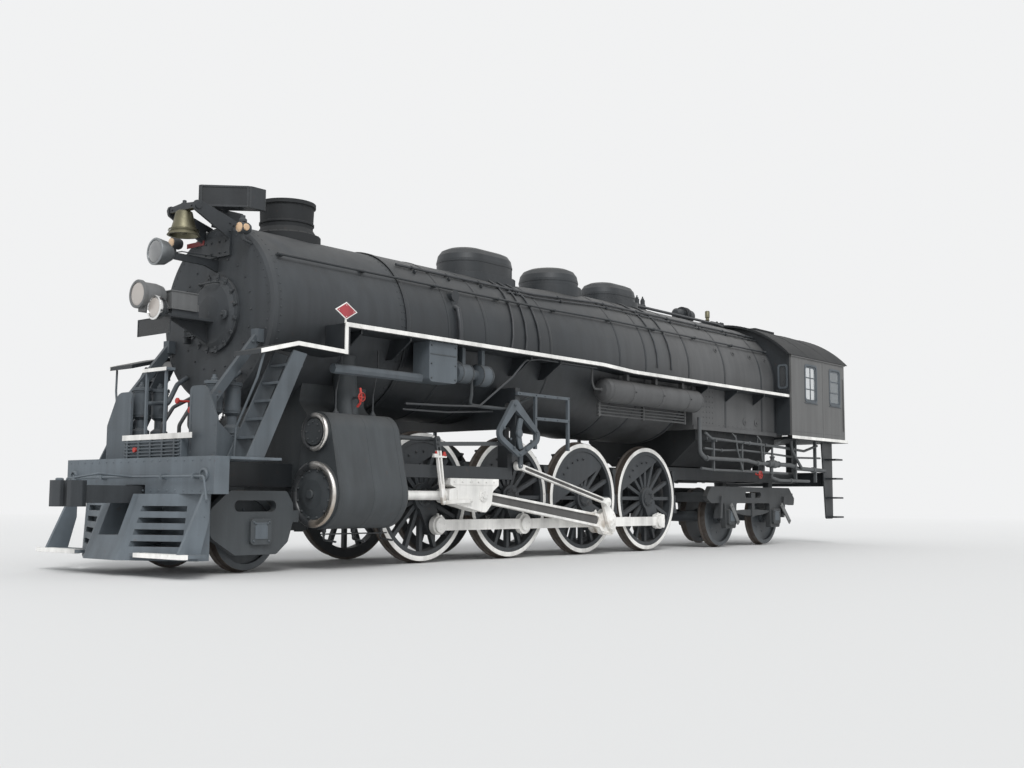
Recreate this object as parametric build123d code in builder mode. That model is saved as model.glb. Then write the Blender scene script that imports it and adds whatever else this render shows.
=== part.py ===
from build123d import *
import os
from math import acos, atan2, cos, degrees, hypot, radians, sin, sqrt, tan

# Steam locomotive of the 2-8-4 wheel arrangement, engine only, standard gauge.
# X points forward, Y to the left side, Z up. The origin is under the third driving axle,
# in the plane of the flange tips, so heights above the rail carry the name rail.

os.makedirs("parts", exist_ok=True)

# Wheels and axles
flange_height = 27
rail = flange_height
driver_diameter = 1753
wheel_gap = 101
lead_diameter = 914
lead_ahead = 2972
trail_diameter = 1092
trail_behind = 2490
trail_spacing = 1778
wheel_back = 680
tyre_width = 140
flange_thickness = 24
flange_slope = 14
axle_radius = 125
journal_gap = 0.4
move_gap = 8
seat_gap = 0.3

driver_radius = driver_diameter / 2
driver_spacing = driver_diameter + wheel_gap
axle_z = rail + driver_radius
lead_z = rail + lead_diameter / 2
trail_z = rail + trail_diameter / 2
driver_x = [driver_spacing * (2 - i) for i in range(4)]
main_x = driver_x[2]
lead_x = driver_x[0] + lead_ahead
trail_x = [driver_x[3] - trail_behind, driver_x[3] - trail_behind - trail_spacing]
wheel_face = wheel_back + tyre_width

# Cranks and rods
crank_radius = 432
crank_lag = 26.0
crank_pin_radius = 75
side_rod_in = 885
side_rod_thick = 80
side_rod_height = 150
rod_plane = 1140
main_rod_thick = 100
cylinder_z = rail + 893
crosshead_pin_x = 2950

crank_dx = -crank_radius * sin(radians(crank_lag))
crank_dz = -crank_radius * cos(radians(crank_lag))

# Boiler
boiler_z = rail + 3120
barrel_radius = 1145
smokebox_radius = barrel_radius - 15
rear_radius = 1240
smokebox_front_x = 6600
smokebox_back_x = 4350
cone_front_x = 1200
cone_back_x = -400
throat_x = -2700
backhead_x = -6120
grate_z = rail + 2110

# Cylinders
cylinder_radius = 420
cylinder_back = driver_x[0] + 972
cylinder_length = 1210
cylinder_front = cylinder_back + cylinder_length
valve_z = rail + 1650
valve_radius = 250

# Truck pivots
lead_pin_x = cylinder_back + 520
trail_pin_x = -3060
truck_pin = 60
truck_side_in = 960
truck_side_out = 1060

# Frame bed
bar_in = 470
bar_thick = 130
bar_out = bar_in + bar_thick
bar_bottom = rail + 620
bar_top = rail + 1395
bar_back = -2950
front_bar = (rail + 980, rail + 1270)
rear_bar = (rail + 1220, rail + 1450)
beam_x = 7650
beam_thick = 200
buffer_x = -8350
buffer_thick = 250
coupler_face = 8640

# Running boards, deck and cab
board_edge = rear_radius + 307
board_z = rail + 2972
board_drop = 40
board_thick = 60
board_step_x = 5800
board_low_z = rail + 2580
deck_z = front_bar[1] + 30
cab_half = rear_radius + 360
cab_front_x = -5850
cab_back_x = -8300
cab_floor_z = rail + 2130
cab_eave_z = rail + 3730
cab_top_z = boiler_z + rear_radius + 70
wall = 40


def mirrored(side, low, high):
    """Two Y values on the left (1) or right (-1) side, lowest first."""
    return sorted((side * low, side * high))


def block(x0, x1, y0, y1, z0, z1, mode=Mode.ADD):
    """Box between two corners."""
    with Locations(((x0 + x1) / 2, (y0 + y1) / 2, (z0 + z1) / 2)):
        Box(x1 - x0, y1 - y0, z1 - z0, mode=mode)


def bar(start, end, radius, mode=Mode.ADD):
    """Round bar from one point to another."""
    run = Vector(*end) - Vector(*start)
    with BuildSketch(Plane(origin=start, z_dir=run)) as profile:
        Circle(radius)
    extrude(profile.sketch, amount=run.length, mode=mode)


def rail_bar(start, end, radius):
    """Thin rail or stay with eight flats, from one point to another."""
    run = Vector(*end) - Vector(*start)
    with BuildSketch(Plane(origin=start, z_dir=run)) as profile:
        RegularPolygon(radius, 8)
    extrude(profile.sketch, amount=run.length)


def round_corners(profile, points):
    """Round those corners of an outline whose points have a third value, the radius."""
    for point in points:
        if len(point) == 3:
            corner = profile.vertices().sort_by_distance((point[0], point[1], 0))[0]
            fillet(corner, radius=point[2])


def plate(plane, points, thickness, mode=Mode.ADD):
    """Flat plate on a plane, from (across, up[, corner radius]) points."""
    with BuildSketch(plane) as profile:
        with BuildLine():
            Polyline(*[point[:2] for point in points], close=True)
        make_face()
        round_corners(profile, points)
    extrude(profile.sketch, amount=thickness, mode=mode)


def plate_xz(points, y0, y1, mode=Mode.ADD):
    """Plate with a side outline, between two Y values."""
    plate(Plane.XZ.offset(-y0), points, y0 - y1, mode)


def plate_yz(points, x0, x1, mode=Mode.ADD):
    """Plate with a front outline, between two X values."""
    plate(Plane.YZ.offset(x0), points, x1 - x0, mode)


def plate_xy(points, z0, z1, mode=Mode.ADD):
    """Plate with a plan outline, between two heights."""
    plate(Plane.XY.offset(z0), points, z1 - z0, mode)


def hull_xz(circles, y0, y1, mode=Mode.ADD):
    """Plate wrapped round circles of a side view, each given as (x, z, radius)."""
    with BuildSketch(Plane.XZ.offset(-y0)) as profile:
        for x, z, radius in circles:
            with Locations((x, z)):
                Circle(radius)
        make_hull()
    extrude(profile.sketch, amount=y0 - y1, mode=mode)


def link_xz(start, end, height, y0, y1, mode=Mode.ADD):
    """Flat bar with round ends between two points of a side view."""
    hull_xz([(*start, height / 2), (*end, height / 2)], y0, y1, mode)


def disc_y(x, z, radius, y0, y1, mode=Mode.ADD):
    """Cylinder along Y."""
    with BuildSketch(Plane.XZ.offset(-y0)) as profile:
        with Locations((x, z)):
            Circle(radius)
    extrude(profile.sketch, amount=y0 - y1, mode=mode)


def disc_x(y, z, radius, x0, x1, mode=Mode.ADD):
    """Cylinder along X."""
    with BuildSketch(Plane.YZ.offset(x0)) as profile:
        with Locations((y, z)):
            Circle(radius)
    extrude(profile.sketch, amount=x1 - x0, mode=mode)


def lathe(origin, along, points, mode=Mode.ADD):
    """Turned solid: points are (distance along the axis, radius) from the origin."""
    across = Vector(1, 0, 0) if along[2] else Vector(0, 0, 1)
    plane = Plane(origin=origin, x_dir=along, z_dir=Vector(*along).cross(across))
    with BuildSketch(plane) as profile:
        with BuildLine():
            Polyline(*points, close=True)
        make_face()
    revolve(profile.sketch, axis=Axis(origin, along), mode=mode)


def revolve_about_x(points, mode=Mode.ADD):
    """Solid of revolution about the boiler's centre line, from (x, radius) points."""
    lathe((0, 0, boiler_z), (1, 0, 0), points, mode)


def dished_end(radius, depth):
    """Quarter ellipse from rim to crown as (along, radius) points, in three flats."""
    steps = [radians(90 * i / 3) for i in range(4)]
    return [(depth * sin(a), radius * cos(a)) for a in steps]


def tank_x(y, z, radius, x0, x1, depth):
    """Tank along X with dished ends."""
    front = [(x1 - depth + u, r) for u, r in dished_end(radius, depth)]
    back = [(x0 + depth - u, r) for u, r in reversed(dished_end(radius, depth))]
    lathe((0, y, z), (1, 0, 0), back + front)


def leaf_spring(x, z, half, y0, y1):
    """Laminated spring in side view, thick at its buckle and thin at its ends."""
    with BuildSketch(Plane.XZ.offset(-y0)) as profile:
        with BuildLine():
            ThreePointArc((x - half, z + 70), (x, z), (x + half, z + 70))
            Line((x + half, z + 70), (x + half, z + 95))
            ThreePointArc((x + half, z + 95), (x, z + 120), (x - half, z + 95))
            Line((x - half, z + 95), (x - half, z + 70))
        make_face()
    extrude(profile.sketch, amount=y0 - y1)


def side_plane(x, y, z):
    """Plane that looks along Y, with X to the right and Z up."""
    return Plane(origin=(x, y, z), x_dir=(1, 0, 0), z_dir=(0, -1, 0))


def tyre_ring(x, z, tread, inner, side):
    """Flanged tyre on its rim, side is 1 for left and -1 for right."""
    flange = tread + flange_height
    lathe((x, 0, z), (0, side, 0), [
        (wheel_back, inner),
        (wheel_back + 4, flange),
        (wheel_back + flange_thickness, flange),
        (wheel_back + flange_thickness + flange_slope, tread),
        (wheel_face, tread),
        (wheel_face, inner),
    ])


def turned(origin, angle, points):
    """Points given along and across a line that leaves origin at an angle."""
    c = cos(radians(angle))
    s = sin(radians(angle))
    return [(origin[0] + p[0] * c - p[1] * s, origin[1] + p[0] * s + p[1] * c, *p[2:]) for p in points]


def save(piece, label):
    """Name a finished piece and write its file."""
    piece.part.label = label
    export_step(piece.part, "parts/" + label + ".step")


# Driving wheelsets: spoked centres with a counterweight opposite each crank pin.
rim_inner = driver_radius - 130
hub_radius = 190
spoke_count = 16
spoke_width = 58
spoke_in = 725
spoke_out = 790
weight_out = spoke_out + 15
hub_face = 850
pin_boss_radius = 140
collar_radius = crank_pin_radius + 30
side_rod_out = side_rod_in + side_rod_thick
pin_collar_out = side_rod_out + 35

# Columns: name, axle x, distance from the axle to the counterweight's straight edge
driver_table = [
    ("driver_1", driver_x[0], 430),
    ("driver_2", driver_x[1], 430),
    ("driver_3", driver_x[2], 230),
    ("driver_4", driver_x[3], 430),
]
# Columns: side, crank angle in the XZ plane; the right crank leads the left by a quarter turn
crank_left = degrees(atan2(crank_dz, crank_dx))
crank_right = crank_left + 90
crank_table = [(1, crank_left), (-1, crank_right)]

for name, x, chord in driver_table:
    with BuildPart() as driver:
        disc_y(x, axle_z, axle_radius, -wheel_back - 5, wheel_back + 5)
        for side, angle in crank_table:
            tyre_ring(x, axle_z, driver_radius, rim_inner, side)
            pin_x = crank_radius * cos(radians(angle))
            pin_z = crank_radius * sin(radians(angle))
            edge = rim_inner + 10
            half = degrees(acos(chord / edge))
            arc_angles = [radians(angle + 180 + turn) for turn in (-half, 0, half)]
            ends = [(edge * cos(a), edge * sin(a)) for a in arc_angles]
            with BuildSketch(side_plane(x, side * spoke_in, axle_z)):
                Circle(hub_radius)
                with PolarLocations((hub_radius + rim_inner) / 2, spoke_count):
                    Rectangle(rim_inner - hub_radius + 60, spoke_width)
            extrude(amount=-side * (spoke_out - spoke_in))
            with BuildSketch(side_plane(x, side * spoke_in, axle_z)):
                with BuildLine():
                    ThreePointArc(*ends)
                    Line(ends[2], ends[0])
                make_face()
            extrude(amount=-side * (weight_out - spoke_in))
            with BuildSketch(side_plane(x, side * wheel_back, axle_z)):
                Circle(hub_radius)
            extrude(amount=-side * (hub_face - wheel_back))
            with BuildSketch(side_plane(x, side * spoke_in, axle_z)):
                Circle(pin_boss_radius + 20)
                with Locations((pin_x, pin_z)):
                    Circle(pin_boss_radius)
                make_hull()
            extrude(amount=-side * (hub_face - spoke_in))
            with BuildSketch(side_plane(x + pin_x, side * hub_face, axle_z + pin_z)):
                Circle(crank_pin_radius)
            extrude(amount=-side * (pin_collar_out - hub_face))
            with BuildSketch(side_plane(x + pin_x, side * (side_rod_out + 1), axle_z + pin_z)):
                Circle(collar_radius)
            extrude(amount=-side * (pin_collar_out - side_rod_out - 1))
    save(driver, name)


# Carrying wheelsets: dished disc wheels with outside journals, turned in one piece.
carry_hub = 130
carry_rim = 75
carry_axle = axle_radius - 25
journal_radius = 85
journal_out = truck_side_out - 15

# Columns: name, axle x, axle z, wheel diameter
carry_table = [
    ("lead_wheels", lead_x, lead_z, lead_diameter),
    ("trailing_wheels_1", trail_x[0], trail_z, trail_diameter),
    ("trailing_wheels_2", trail_x[1], trail_z, trail_diameter),
]
for name, x, z, diameter in carry_table:
    inner = diameter / 2 - carry_rim
    with BuildPart() as carry:
        for side in (1, -1):
            lathe((x, 0, z), (0, side, 0), [
                (-1, 0),
                (-1, carry_axle),
                (wheel_back, carry_axle),
                (wheel_back, carry_hub),
                (wheel_back + 35, carry_hub),
                (wheel_back + 60, inner + 5),
                (wheel_back + 90, inner + 5),
                (wheel_back + 65, carry_hub),
                (wheel_face + 15, carry_hub),
                (wheel_face + 15, journal_radius),
                (journal_out, journal_radius),
                (journal_out, 0),
            ])
            tyre_ring(x, z, diameter / 2, inner, side)
    save(carry, name)


# Side rods: one rod a side couples the four crank pins.
rod_bore = crank_pin_radius + journal_gap
rear_end_length = 270
rear_end_height = 230
# Boss radius at each crank pin, from the front
boss_radius = [132, 150, 170, 132]
for label, side, angle in [("side_rod_left", 1, crank_left), ("side_rod_right", -1, crank_right)]:
    pin_dx = crank_radius * cos(radians(angle))
    pin_z = axle_z + crank_radius * sin(radians(angle))
    near, far = mirrored(side, side_rod_in, side_rod_out)
    half = side_rod_height / 2
    with BuildPart() as side_rod:
        block(driver_x[3] + pin_dx, driver_x[0] + pin_dx, near, far, pin_z - half, pin_z + half)
        for x, radius in zip(driver_x, boss_radius):
            disc_y(x + pin_dx, pin_z, radius, near, far)
        with BuildSketch(side_plane(driver_x[3] + pin_dx - 20, near, pin_z)):
            RectangleRounded(rear_end_length, rear_end_height, 35)
        extrude(amount=-side_rod_thick)
        for x in driver_x:
            disc_y(x + pin_dx, pin_z, rod_bore, near, far, mode=Mode.SUBTRACT)
    save(side_rod, label)


# Main rods, with the big end's own pin stub; the joint to the wheel's crank pin is open.
pin_left = (main_x + crank_dx, axle_z + crank_dz)
right_turn = radians(crank_right)
pin_right = (main_x + crank_radius * cos(right_turn), axle_z + crank_radius * sin(right_turn))
rod_length = hypot(crosshead_pin_x - pin_left[0], cylinder_z - pin_left[1])
crosshead_right_x = pin_right[0] + sqrt(rod_length ** 2 - (cylinder_z - pin_right[1]) ** 2)
stub_in = pin_collar_out + move_gap
main_rod_in = rod_plane - main_rod_thick / 2
main_rod_out = rod_plane + main_rod_thick / 2
wrist_radius = 55
small_end_radius = 110
blade_half = (80, 105)
flute_half = (50, 66)
flute_depth = 25
big_end_half = 200
return_in = main_rod_out + 12

# Columns: side, crosshead pin x, crank pin x and z
rod_table = [
    (1, crosshead_pin_x, pin_left[0], pin_left[1]),
    (-1, crosshead_right_x, pin_right[0], pin_right[1]),
]
with BuildPart() as main_rods:
    for side, head_x, pin_x, pin_z in rod_table:
        near, far = mirrored(side, main_rod_in, main_rod_out)
        run = (pin_x - head_x, pin_z - cylinder_z)
        length = hypot(*run)
        tilt = degrees(atan2(run[1], run[0]))
        head = (head_x, cylinder_z)
        blade = [(0, -blade_half[0]), (0, blade_half[0]), (length, blade_half[1]), (length, -blade_half[1])]
        plate_xz(turned(head, tilt, blade), near, far)
        disc_y(*head, small_end_radius, near, far)
        big_end = [
            (length - 240, -blade_half[1], 40),
            (length - 130, -big_end_half, 60),
            (length + 110, -big_end_half, 80),
            (length + big_end_half, -100, 60),
            (length + big_end_half, 100, 60),
            (length + 110, big_end_half, 80),
            (length - 130, big_end_half, 60),
            (length - 240, blade_half[1], 40),
        ]
        plate_xz(turned(head, tilt, big_end), near, far)
        disc_y(*head, wrist_radius + journal_gap, near, far, mode=Mode.SUBTRACT)
        near, far = mirrored(side, stub_in, return_in)
        disc_y(pin_x, pin_z, crank_pin_radius, near, far)
        near, far = mirrored(side, main_rod_out - flute_depth, main_rod_out + 1)
        (u0, v0), (u1, v1) = turned(head, tilt, [(260, 0), (length - 330, 0)])
        hull_xz([(u0, v0, flute_half[0]), (u1, v1, flute_half[1])], near, far, mode=Mode.SUBTRACT)
save(main_rods, "main_rods")


# Crossheads with their piston rods, hung from the guide bars.
guide_bottom = rail + 1130
crosshead_half = 120
slot_gap = 7
piston_radius = 62
with BuildPart() as crossheads:
    for side, head_x, pin_x, pin_z in rod_table:
        near, far = mirrored(side, rod_plane - crosshead_half, rod_plane + crosshead_half)
        outline = [
            (head_x - 330, guide_bottom),
            (head_x + 680, guide_bottom),
            (head_x + 680, guide_bottom - 90, 20),
            (head_x + 560, guide_bottom - 130),
            (head_x + 700, cylinder_z + 85, 30),
            (head_x + 700, cylinder_z - 85, 30),
            (head_x + 200, cylinder_z - 190, 80),
            (head_x - 60, cylinder_z - 235, 80),
            (head_x - 180, cylinder_z - 120, 60),
            (head_x - 200, cylinder_z + 60, 60),
            (head_x - 330, guide_bottom - 90, 20),
        ]
        plate_xz(outline, near, far)
        disc_x(side * rod_plane, cylinder_z, piston_radius, head_x + 690, cylinder_back - 30)
        near_slot, far_slot = mirrored(side, main_rod_in - slot_gap, main_rod_out + slot_gap)
        slot = [
            (head_x - 400, cylinder_z - 400),
            (head_x + 130, cylinder_z - 400),
            (head_x + 130, guide_bottom - 95, 30),
            (head_x - 400, guide_bottom - 95),
        ]
        plate_xz(slot, near_slot, far_slot, mode=Mode.SUBTRACT)
        disc_y(head_x, cylinder_z, wrist_radius, near, far)
save(crossheads, "crossheads")


# Crosshead guides and the yoke that carries them from the boiler.
yoke_x = (2280, 2380)
yoke_in = 1030
yoke_out = 1360
yoke_top = rail + 2450
yoke_hole = (1160, 1260)
guide_half = 80
guide_height = 170
with BuildPart() as crosshead_guides:
    for side in (1, -1):
        near, far = mirrored(side, rod_plane - guide_half, rod_plane + guide_half)
        block(yoke_x[0], cylinder_back - 40, near, far, guide_bottom, guide_bottom + guide_height)
        near, far = mirrored(side, yoke_in, rod_plane + guide_half)
        block(*yoke_x, near, far, guide_bottom + 20, yoke_top)
        near, far = mirrored(side, yoke_in, yoke_out)
        block(*yoke_x, near, far, rail + 1500, yoke_top)
        for z in (rail + 1800, rail + 2150):
            y0, y1 = mirrored(side, *yoke_hole)
            corners = [(y0, z - 90), (y1, z - 90), (y1, z + 90), (y0, z + 90)]
            hole = [(*corner, 45) for corner in corners]
            plate_yz(hole, yoke_x[0] - 1, yoke_x[1] + 1, mode=Mode.SUBTRACT)
    block(*yoke_x, -yoke_in - 1, yoke_in + 1, boiler_z - barrel_radius - 115, yoke_top)
    disc_x(0, boiler_z, barrel_radius, yoke_x[0] - 1, yoke_x[1] + 1, mode=Mode.SUBTRACT)
save(crosshead_guides, "crosshead_guides")


# Return cranks and fluted eccentric rods.
return_out = return_in + 50
eccentric_out = return_out + 60
eccentric_flute = 18
gear_foot = (2225, rail + 1330)
with BuildPart() as eccentric_rods:
    for side, head_x, pin_x, pin_z in rod_table:
        foot = (main_x + 0.06 * (pin_x - main_x), axle_z + 0.17 * (pin_z - axle_z))
        near, far = mirrored(side, return_in, return_out)
        hull_xz([(pin_x, pin_z, 105), (*foot, 62)], near, far)
        near, far = mirrored(side, return_out, eccentric_out)
        disc_y(*foot, 72, near, far)
        disc_y(*gear_foot, 66, near, far)
        link_xz(foot, gear_foot, 84, near, far)
        run = (gear_foot[0] - foot[0], gear_foot[1] - foot[1])
        flute = [(foot[0] + run[0] * share, foot[1] + run[1] * share) for share in (0.07, 0.93)]
        near, far = mirrored(side, eccentric_out - eccentric_flute, eccentric_out + 1)
        link_xz(*flute, 44, near, far, mode=Mode.SUBTRACT)
save(eccentric_rods, "eccentric_rods")


# Valve gear: teardrop frames on the guide yoke, their rear brackets, and the hanging links.
gear_in = yoke_out
gear_out = yoke_out + 60
hanger_top = rail + 1500
hanger_out = eccentric_out + 36
# Columns: x, z and radius of the frame's corners
gear_corners = [
    (2430, rail + 2190, 80),
    (2670, rail + 1780, 135),
    (2340, rail + 1585, 130),
    (2010, rail + 1760, 130),
]
gear_rim = 72
gear_opening = [(x, z, radius - gear_rim) for x, z, radius in gear_corners[1:]]
gear_opening.append((gear_corners[0][0], gear_corners[0][1] - 80, 8))
bracket_x = (1140, 1930)
bracket_z = (rail + 1580, rail + 2390)
bracket_bar = 45
bracket_shelf = rail + 2005
with BuildPart() as valve_gear:
    for side in (1, -1):
        near, far = mirrored(side, gear_in, gear_out)
        hull_xz(gear_corners, near, far)
        hull_xz(gear_opening, near - 1, far + 1, mode=Mode.SUBTRACT)
        near, far = mirrored(side, gear_in, gear_in + bracket_bar)
        block(bracket_x[0], yoke_x[1], near, far, bracket_z[1] - bracket_bar, bracket_z[1])
        block(*bracket_x, near, far, bracket_shelf, bracket_shelf + bracket_bar)
        for x in bracket_x:
            block(x, x + bracket_bar, near, far, bracket_z[0], bracket_z[1])
        near, far = mirrored(side, eccentric_out + seat_gap, hanger_out)
        link_xz(gear_foot, (gear_foot[0], hanger_top), 80, near, far)
        near, far = mirrored(side, hanger_out, gear_in)
        disc_y(gear_foot[0], hanger_top, 30, near, far)
save(valve_gear, "valve_gear")

# Combination levers, union links, radius rods and valve stems
lever_top = (3930, rail + 1640)
lever_foot = (3790, rail + 800)
lever_half = 38
union_pin = (300, cylinder_z - 70)
radius_rod_end = (2480, rail + 1640)
combination_in = rod_plane + crosshead_half + 6
combination_out = combination_in + 40
valve_stem_radius = 32
with BuildPart() as valve_rods:
    for side, head_x, pin_x, pin_z in rod_table:
        travel = head_x - crosshead_pin_x
        top = (lever_top[0] + 0.12 * travel, lever_top[1])
        foot = (lever_foot[0] + travel, lever_foot[1])
        union = (head_x + union_pin[0], union_pin[1])
        near, far = mirrored(side, combination_in, combination_out)
        hull_xz([(*top, lever_half + 8), (*foot, lever_half - 6)], near, far)
        run = (top[0] - foot[0], top[1] - foot[1])
        slot = [(foot[0] + run[0] * share, foot[1] + run[1] * share) for share in (0.3, 0.86)]
        link_xz(*slot, 34, near - 1, far + 1, mode=Mode.SUBTRACT)
        link_xz(foot, union, 50, near, far)
        link_xz((top[0], top[1] - 60), radius_rod_end, 56, near, far)
        near, far = mirrored(side, rod_plane + crosshead_half, combination_in)
        disc_y(*union, 24, near, far)
        near, far = mirrored(side, rod_plane - 30, combination_in)
        disc_y(*top, 24, near, far)
        disc_x(side * rod_plane, valve_z, valve_stem_radius, top[0] - 40, cylinder_back - 30)
save(valve_rods, "valve_rods")


# Cylinders, valve chests and the saddle, one casting. Covers are turned, ends of the jacket rounded.
head_radius = cylinder_radius - 22
chest_head = valve_radius - 20
steam_pipe_x = cylinder_back + 620
steam_pipe_radius = 150
jacket_round = 70
head_bulge = 45
with BuildPart() as cylinders:
    for side in (1, -1):
        # Columns: start of the stretch, its length, slope of its sides in degrees
        stretches = [
            (cylinder_back + jacket_round, cylinder_length - jacket_round, 0),
            (cylinder_back + jacket_round, -jacket_round, 38),
        ]
        for start, run, slope in stretches:
            with BuildSketch(Plane.YZ.offset(start)):
                with Locations((side * rod_plane, cylinder_z)):
                    Circle(cylinder_radius)
                with Locations((side * rod_plane, valve_z)):
                    Circle(valve_radius)
                make_hull()
            extrude(amount=run, taper=slope)
        lathe((0, side * rod_plane, cylinder_z), (1, 0, 0), [
            (cylinder_back - 30, 0),
            (cylinder_back - 30, head_radius - 120),
            (cylinder_front + head_bulge, head_radius - 120),
            (cylinder_front + head_bulge + 30, 180),
            (cylinder_front + head_bulge + 50, 0),
        ])
        disc_x(side * rod_plane, cylinder_z, head_radius, cylinder_front - 1, cylinder_front + head_bulge)
        disc_x(side * rod_plane, valve_z, chest_head, cylinder_front - 1, cylinder_front + head_bulge)
        chest_end = cylinder_front + head_bulge + 30
        disc_x(side * rod_plane, valve_z, chest_head - 70, cylinder_back - 30, chest_end)
        pipe_foot = (steam_pipe_x, side * 1010, rail + 1800)
        pipe_head = (steam_pipe_x, side * 930, rail + 2640)
        bar(pipe_foot, pipe_head, steam_pipe_radius)
    saddle = [(-890, rail + 560), (890, rail + 560), (890, rail + 1850, 60), (700, rail + 2050, 120)]
    saddle += [(760, rail + 2300), (-760, rail + 2300), (-700, rail + 2050, 120), (-890, rail + 1850, 60)]
    plate_yz(saddle, cylinder_back + 60, cylinder_front - 60)
    disc_x(0, boiler_z, smokebox_radius, cylinder_back - 50, cylinder_front + 90, mode=Mode.SUBTRACT)
    bar((lead_pin_x, 0, rail + 410), (lead_pin_x, 0, rail + 570), truck_pin)
save(cylinders, "cylinders")


# Frame bed: two side members with bearing holes, cross ties and the extensions fore and aft.
window_half = driver_spacing / 2 - 250
tie_half = 160
tie_height = 160
rear_tie_x = (-7600, -7300)
with BuildPart() as main_frame:
    for side in (1, -1):
        near, far = mirrored(side, bar_in, bar_out)
        block(bar_back, cylinder_back + 60, near, far, bar_bottom, bar_top)
        block(cylinder_front - 60, beam_x - beam_thick, near, far, *front_bar)
        block(buffer_x + buffer_thick, bar_back, near, far, *rear_bar)
        plate_xz([
            (bar_back - 300, rear_bar[0], 80),
            (bar_back - 300, rear_bar[1]),
            (bar_back + 300, rear_bar[1]),
            (bar_back + 300, bar_bottom + 300),
            (bar_back - 100, bar_bottom + 560, 80),
        ], near, far)
        for x in driver_x:
            disc_y(x, axle_z, axle_radius + journal_gap, near - 1, far + 1, mode=Mode.SUBTRACT)
        for x in driver_x[:3]:
            middle = x - driver_spacing / 2
            window = [
                (middle - window_half, bar_bottom + 160, 70),
                (middle + window_half, bar_bottom + 160, 70),
                (middle + window_half, bar_top - 150, 70),
                (middle - window_half, bar_top - 150, 70),
            ]
            plate_xz(window, near - 1, far + 1, mode=Mode.SUBTRACT)
    for x in driver_x[:3]:
        middle = x - driver_spacing / 2
        for z in (bar_top - tie_height, bar_bottom):
            block(middle - tie_half, middle + tie_half, -bar_in - 1, bar_in + 1, z, z + tie_height)
    block(beam_x - 700, beam_x - beam_thick, -bar_in - 1, bar_in + 1, *front_bar)
    block(trail_pin_x - 140, trail_pin_x + 80, -bar_in - 1, bar_in + 1, *rear_bar)
    bar((trail_pin_x, 0, rail + 850), (trail_pin_x, 0, rear_bar[0] + 10), truck_pin)
    block(rear_tie_x[0], rear_tie_x[1], -bar_in - 1, bar_in + 1, *rear_bar)
    block(buffer_x, buffer_x + buffer_thick, -1250, 1250, rear_bar[0] - 60, rear_bar[1])
save(main_frame, "main_frame")

# Leaf springs above the driving axles, on saddles and hangers that stand on the frame
spring_half = 430
spring_z = bar_top + 85
spring_plane = (bar_in + 25, bar_out - 25)
with BuildPart() as driving_springs:
    for side in (1, -1):
        near, far = mirrored(side, *spring_plane)
        for x in driver_x:
            leaf_spring(x, spring_z, spring_half, near, far)
            block(x - 45, x + 45, near, far, bar_top, spring_z + 130)
            for end in (x - spring_half + 20, x + spring_half - 50):
                block(end, end + 30, near, far, bar_top, spring_z + 90)
save(driving_springs, "driving_springs")

# Brake shoes behind the driving wheels, each on a hanger from its pin in the frame
shoe_gap = 12
shoe_back_gap = 34
shoe_plane = (wheel_back + 45, wheel_face - 5)
hanger_plane = (735, 785)
brake_pin_z = bar_top - 75
brake_pin_radius = 30
with BuildPart() as brake_rigging:
    for side in (1, -1):
        for x in driver_x:
            middle = x - driver_spacing / 2
            near, far = mirrored(side, *shoe_plane)
            block(middle - 75, middle + 75, near, far, axle_z - 260, axle_z + 60)
            disc_y(x, axle_z, driver_radius + shoe_gap, near - 1, far + 1, mode=Mode.SUBTRACT)
            next_x = x - driver_spacing
            next_cut = driver_radius + shoe_back_gap
            disc_y(next_x, axle_z, next_cut, near - 1, far + 1, mode=Mode.SUBTRACT)
            near, far = mirrored(side, *hanger_plane)
            block(middle - 25, middle + 25, near, far, axle_z - 220, brake_pin_z)
            disc_y(middle, brake_pin_z, 55, near, far)
            near, far = mirrored(side, bar_out, hanger_plane[0])
            disc_y(middle, brake_pin_z, brake_pin_radius, near, far)
save(brake_rigging, "brake_rigging")


# Smokebox with its door ring and the door's hinge lugs and pins, boiler barrel and firebox
door_radius = 480
door_gap = 1
door_hinge_y = -door_radius - 60
door_hinge_x = smokebox_front_x + 60
hinge_pin_radius = 14
# Heights of the two hinges
hinge_z = (boiler_z - 220, boiler_z + 220)
lug_inner = 43
lug_outer = 110
with BuildPart() as smokebox:
    revolve_about_x([
        (smokebox_back_x, 0),
        (smokebox_back_x, smokebox_radius),
        (smokebox_front_x - 70, smokebox_radius),
        (smokebox_front_x - 25, smokebox_radius - 18),
        (smokebox_front_x, smokebox_radius - 60),
        (smokebox_front_x, 0),
    ])
    for z in hinge_z:
        hinge = (door_hinge_x, door_hinge_y)
        bar((*hinge, z - lug_outer), (*hinge, z + lug_outer), hinge_pin_radius)
        for z0, z1 in ((z - lug_outer, z - lug_inner), (z + lug_inner, z + lug_outer)):
            lug = [
                (smokebox_front_x - 1, door_hinge_y - 30),
                (smokebox_front_x - 1, door_hinge_y + 30),
                (door_hinge_x + 30, door_hinge_y + 30, 28),
                (door_hinge_x + 30, door_hinge_y - 30, 28),
            ]
            plate_xy(lug, z0, z1)
save(smokebox, "smokebox")

barrel_outline = [
    (throat_x, 0),
    (throat_x, rear_radius),
    (cone_back_x, rear_radius),
    (cone_front_x, barrel_radius),
    (smokebox_back_x, barrel_radius),
    (smokebox_back_x, 0),
]
with BuildPart() as boiler_barrel:
    revolve_about_x(barrel_outline)
save(boiler_barrel, "boiler_barrel")

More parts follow.
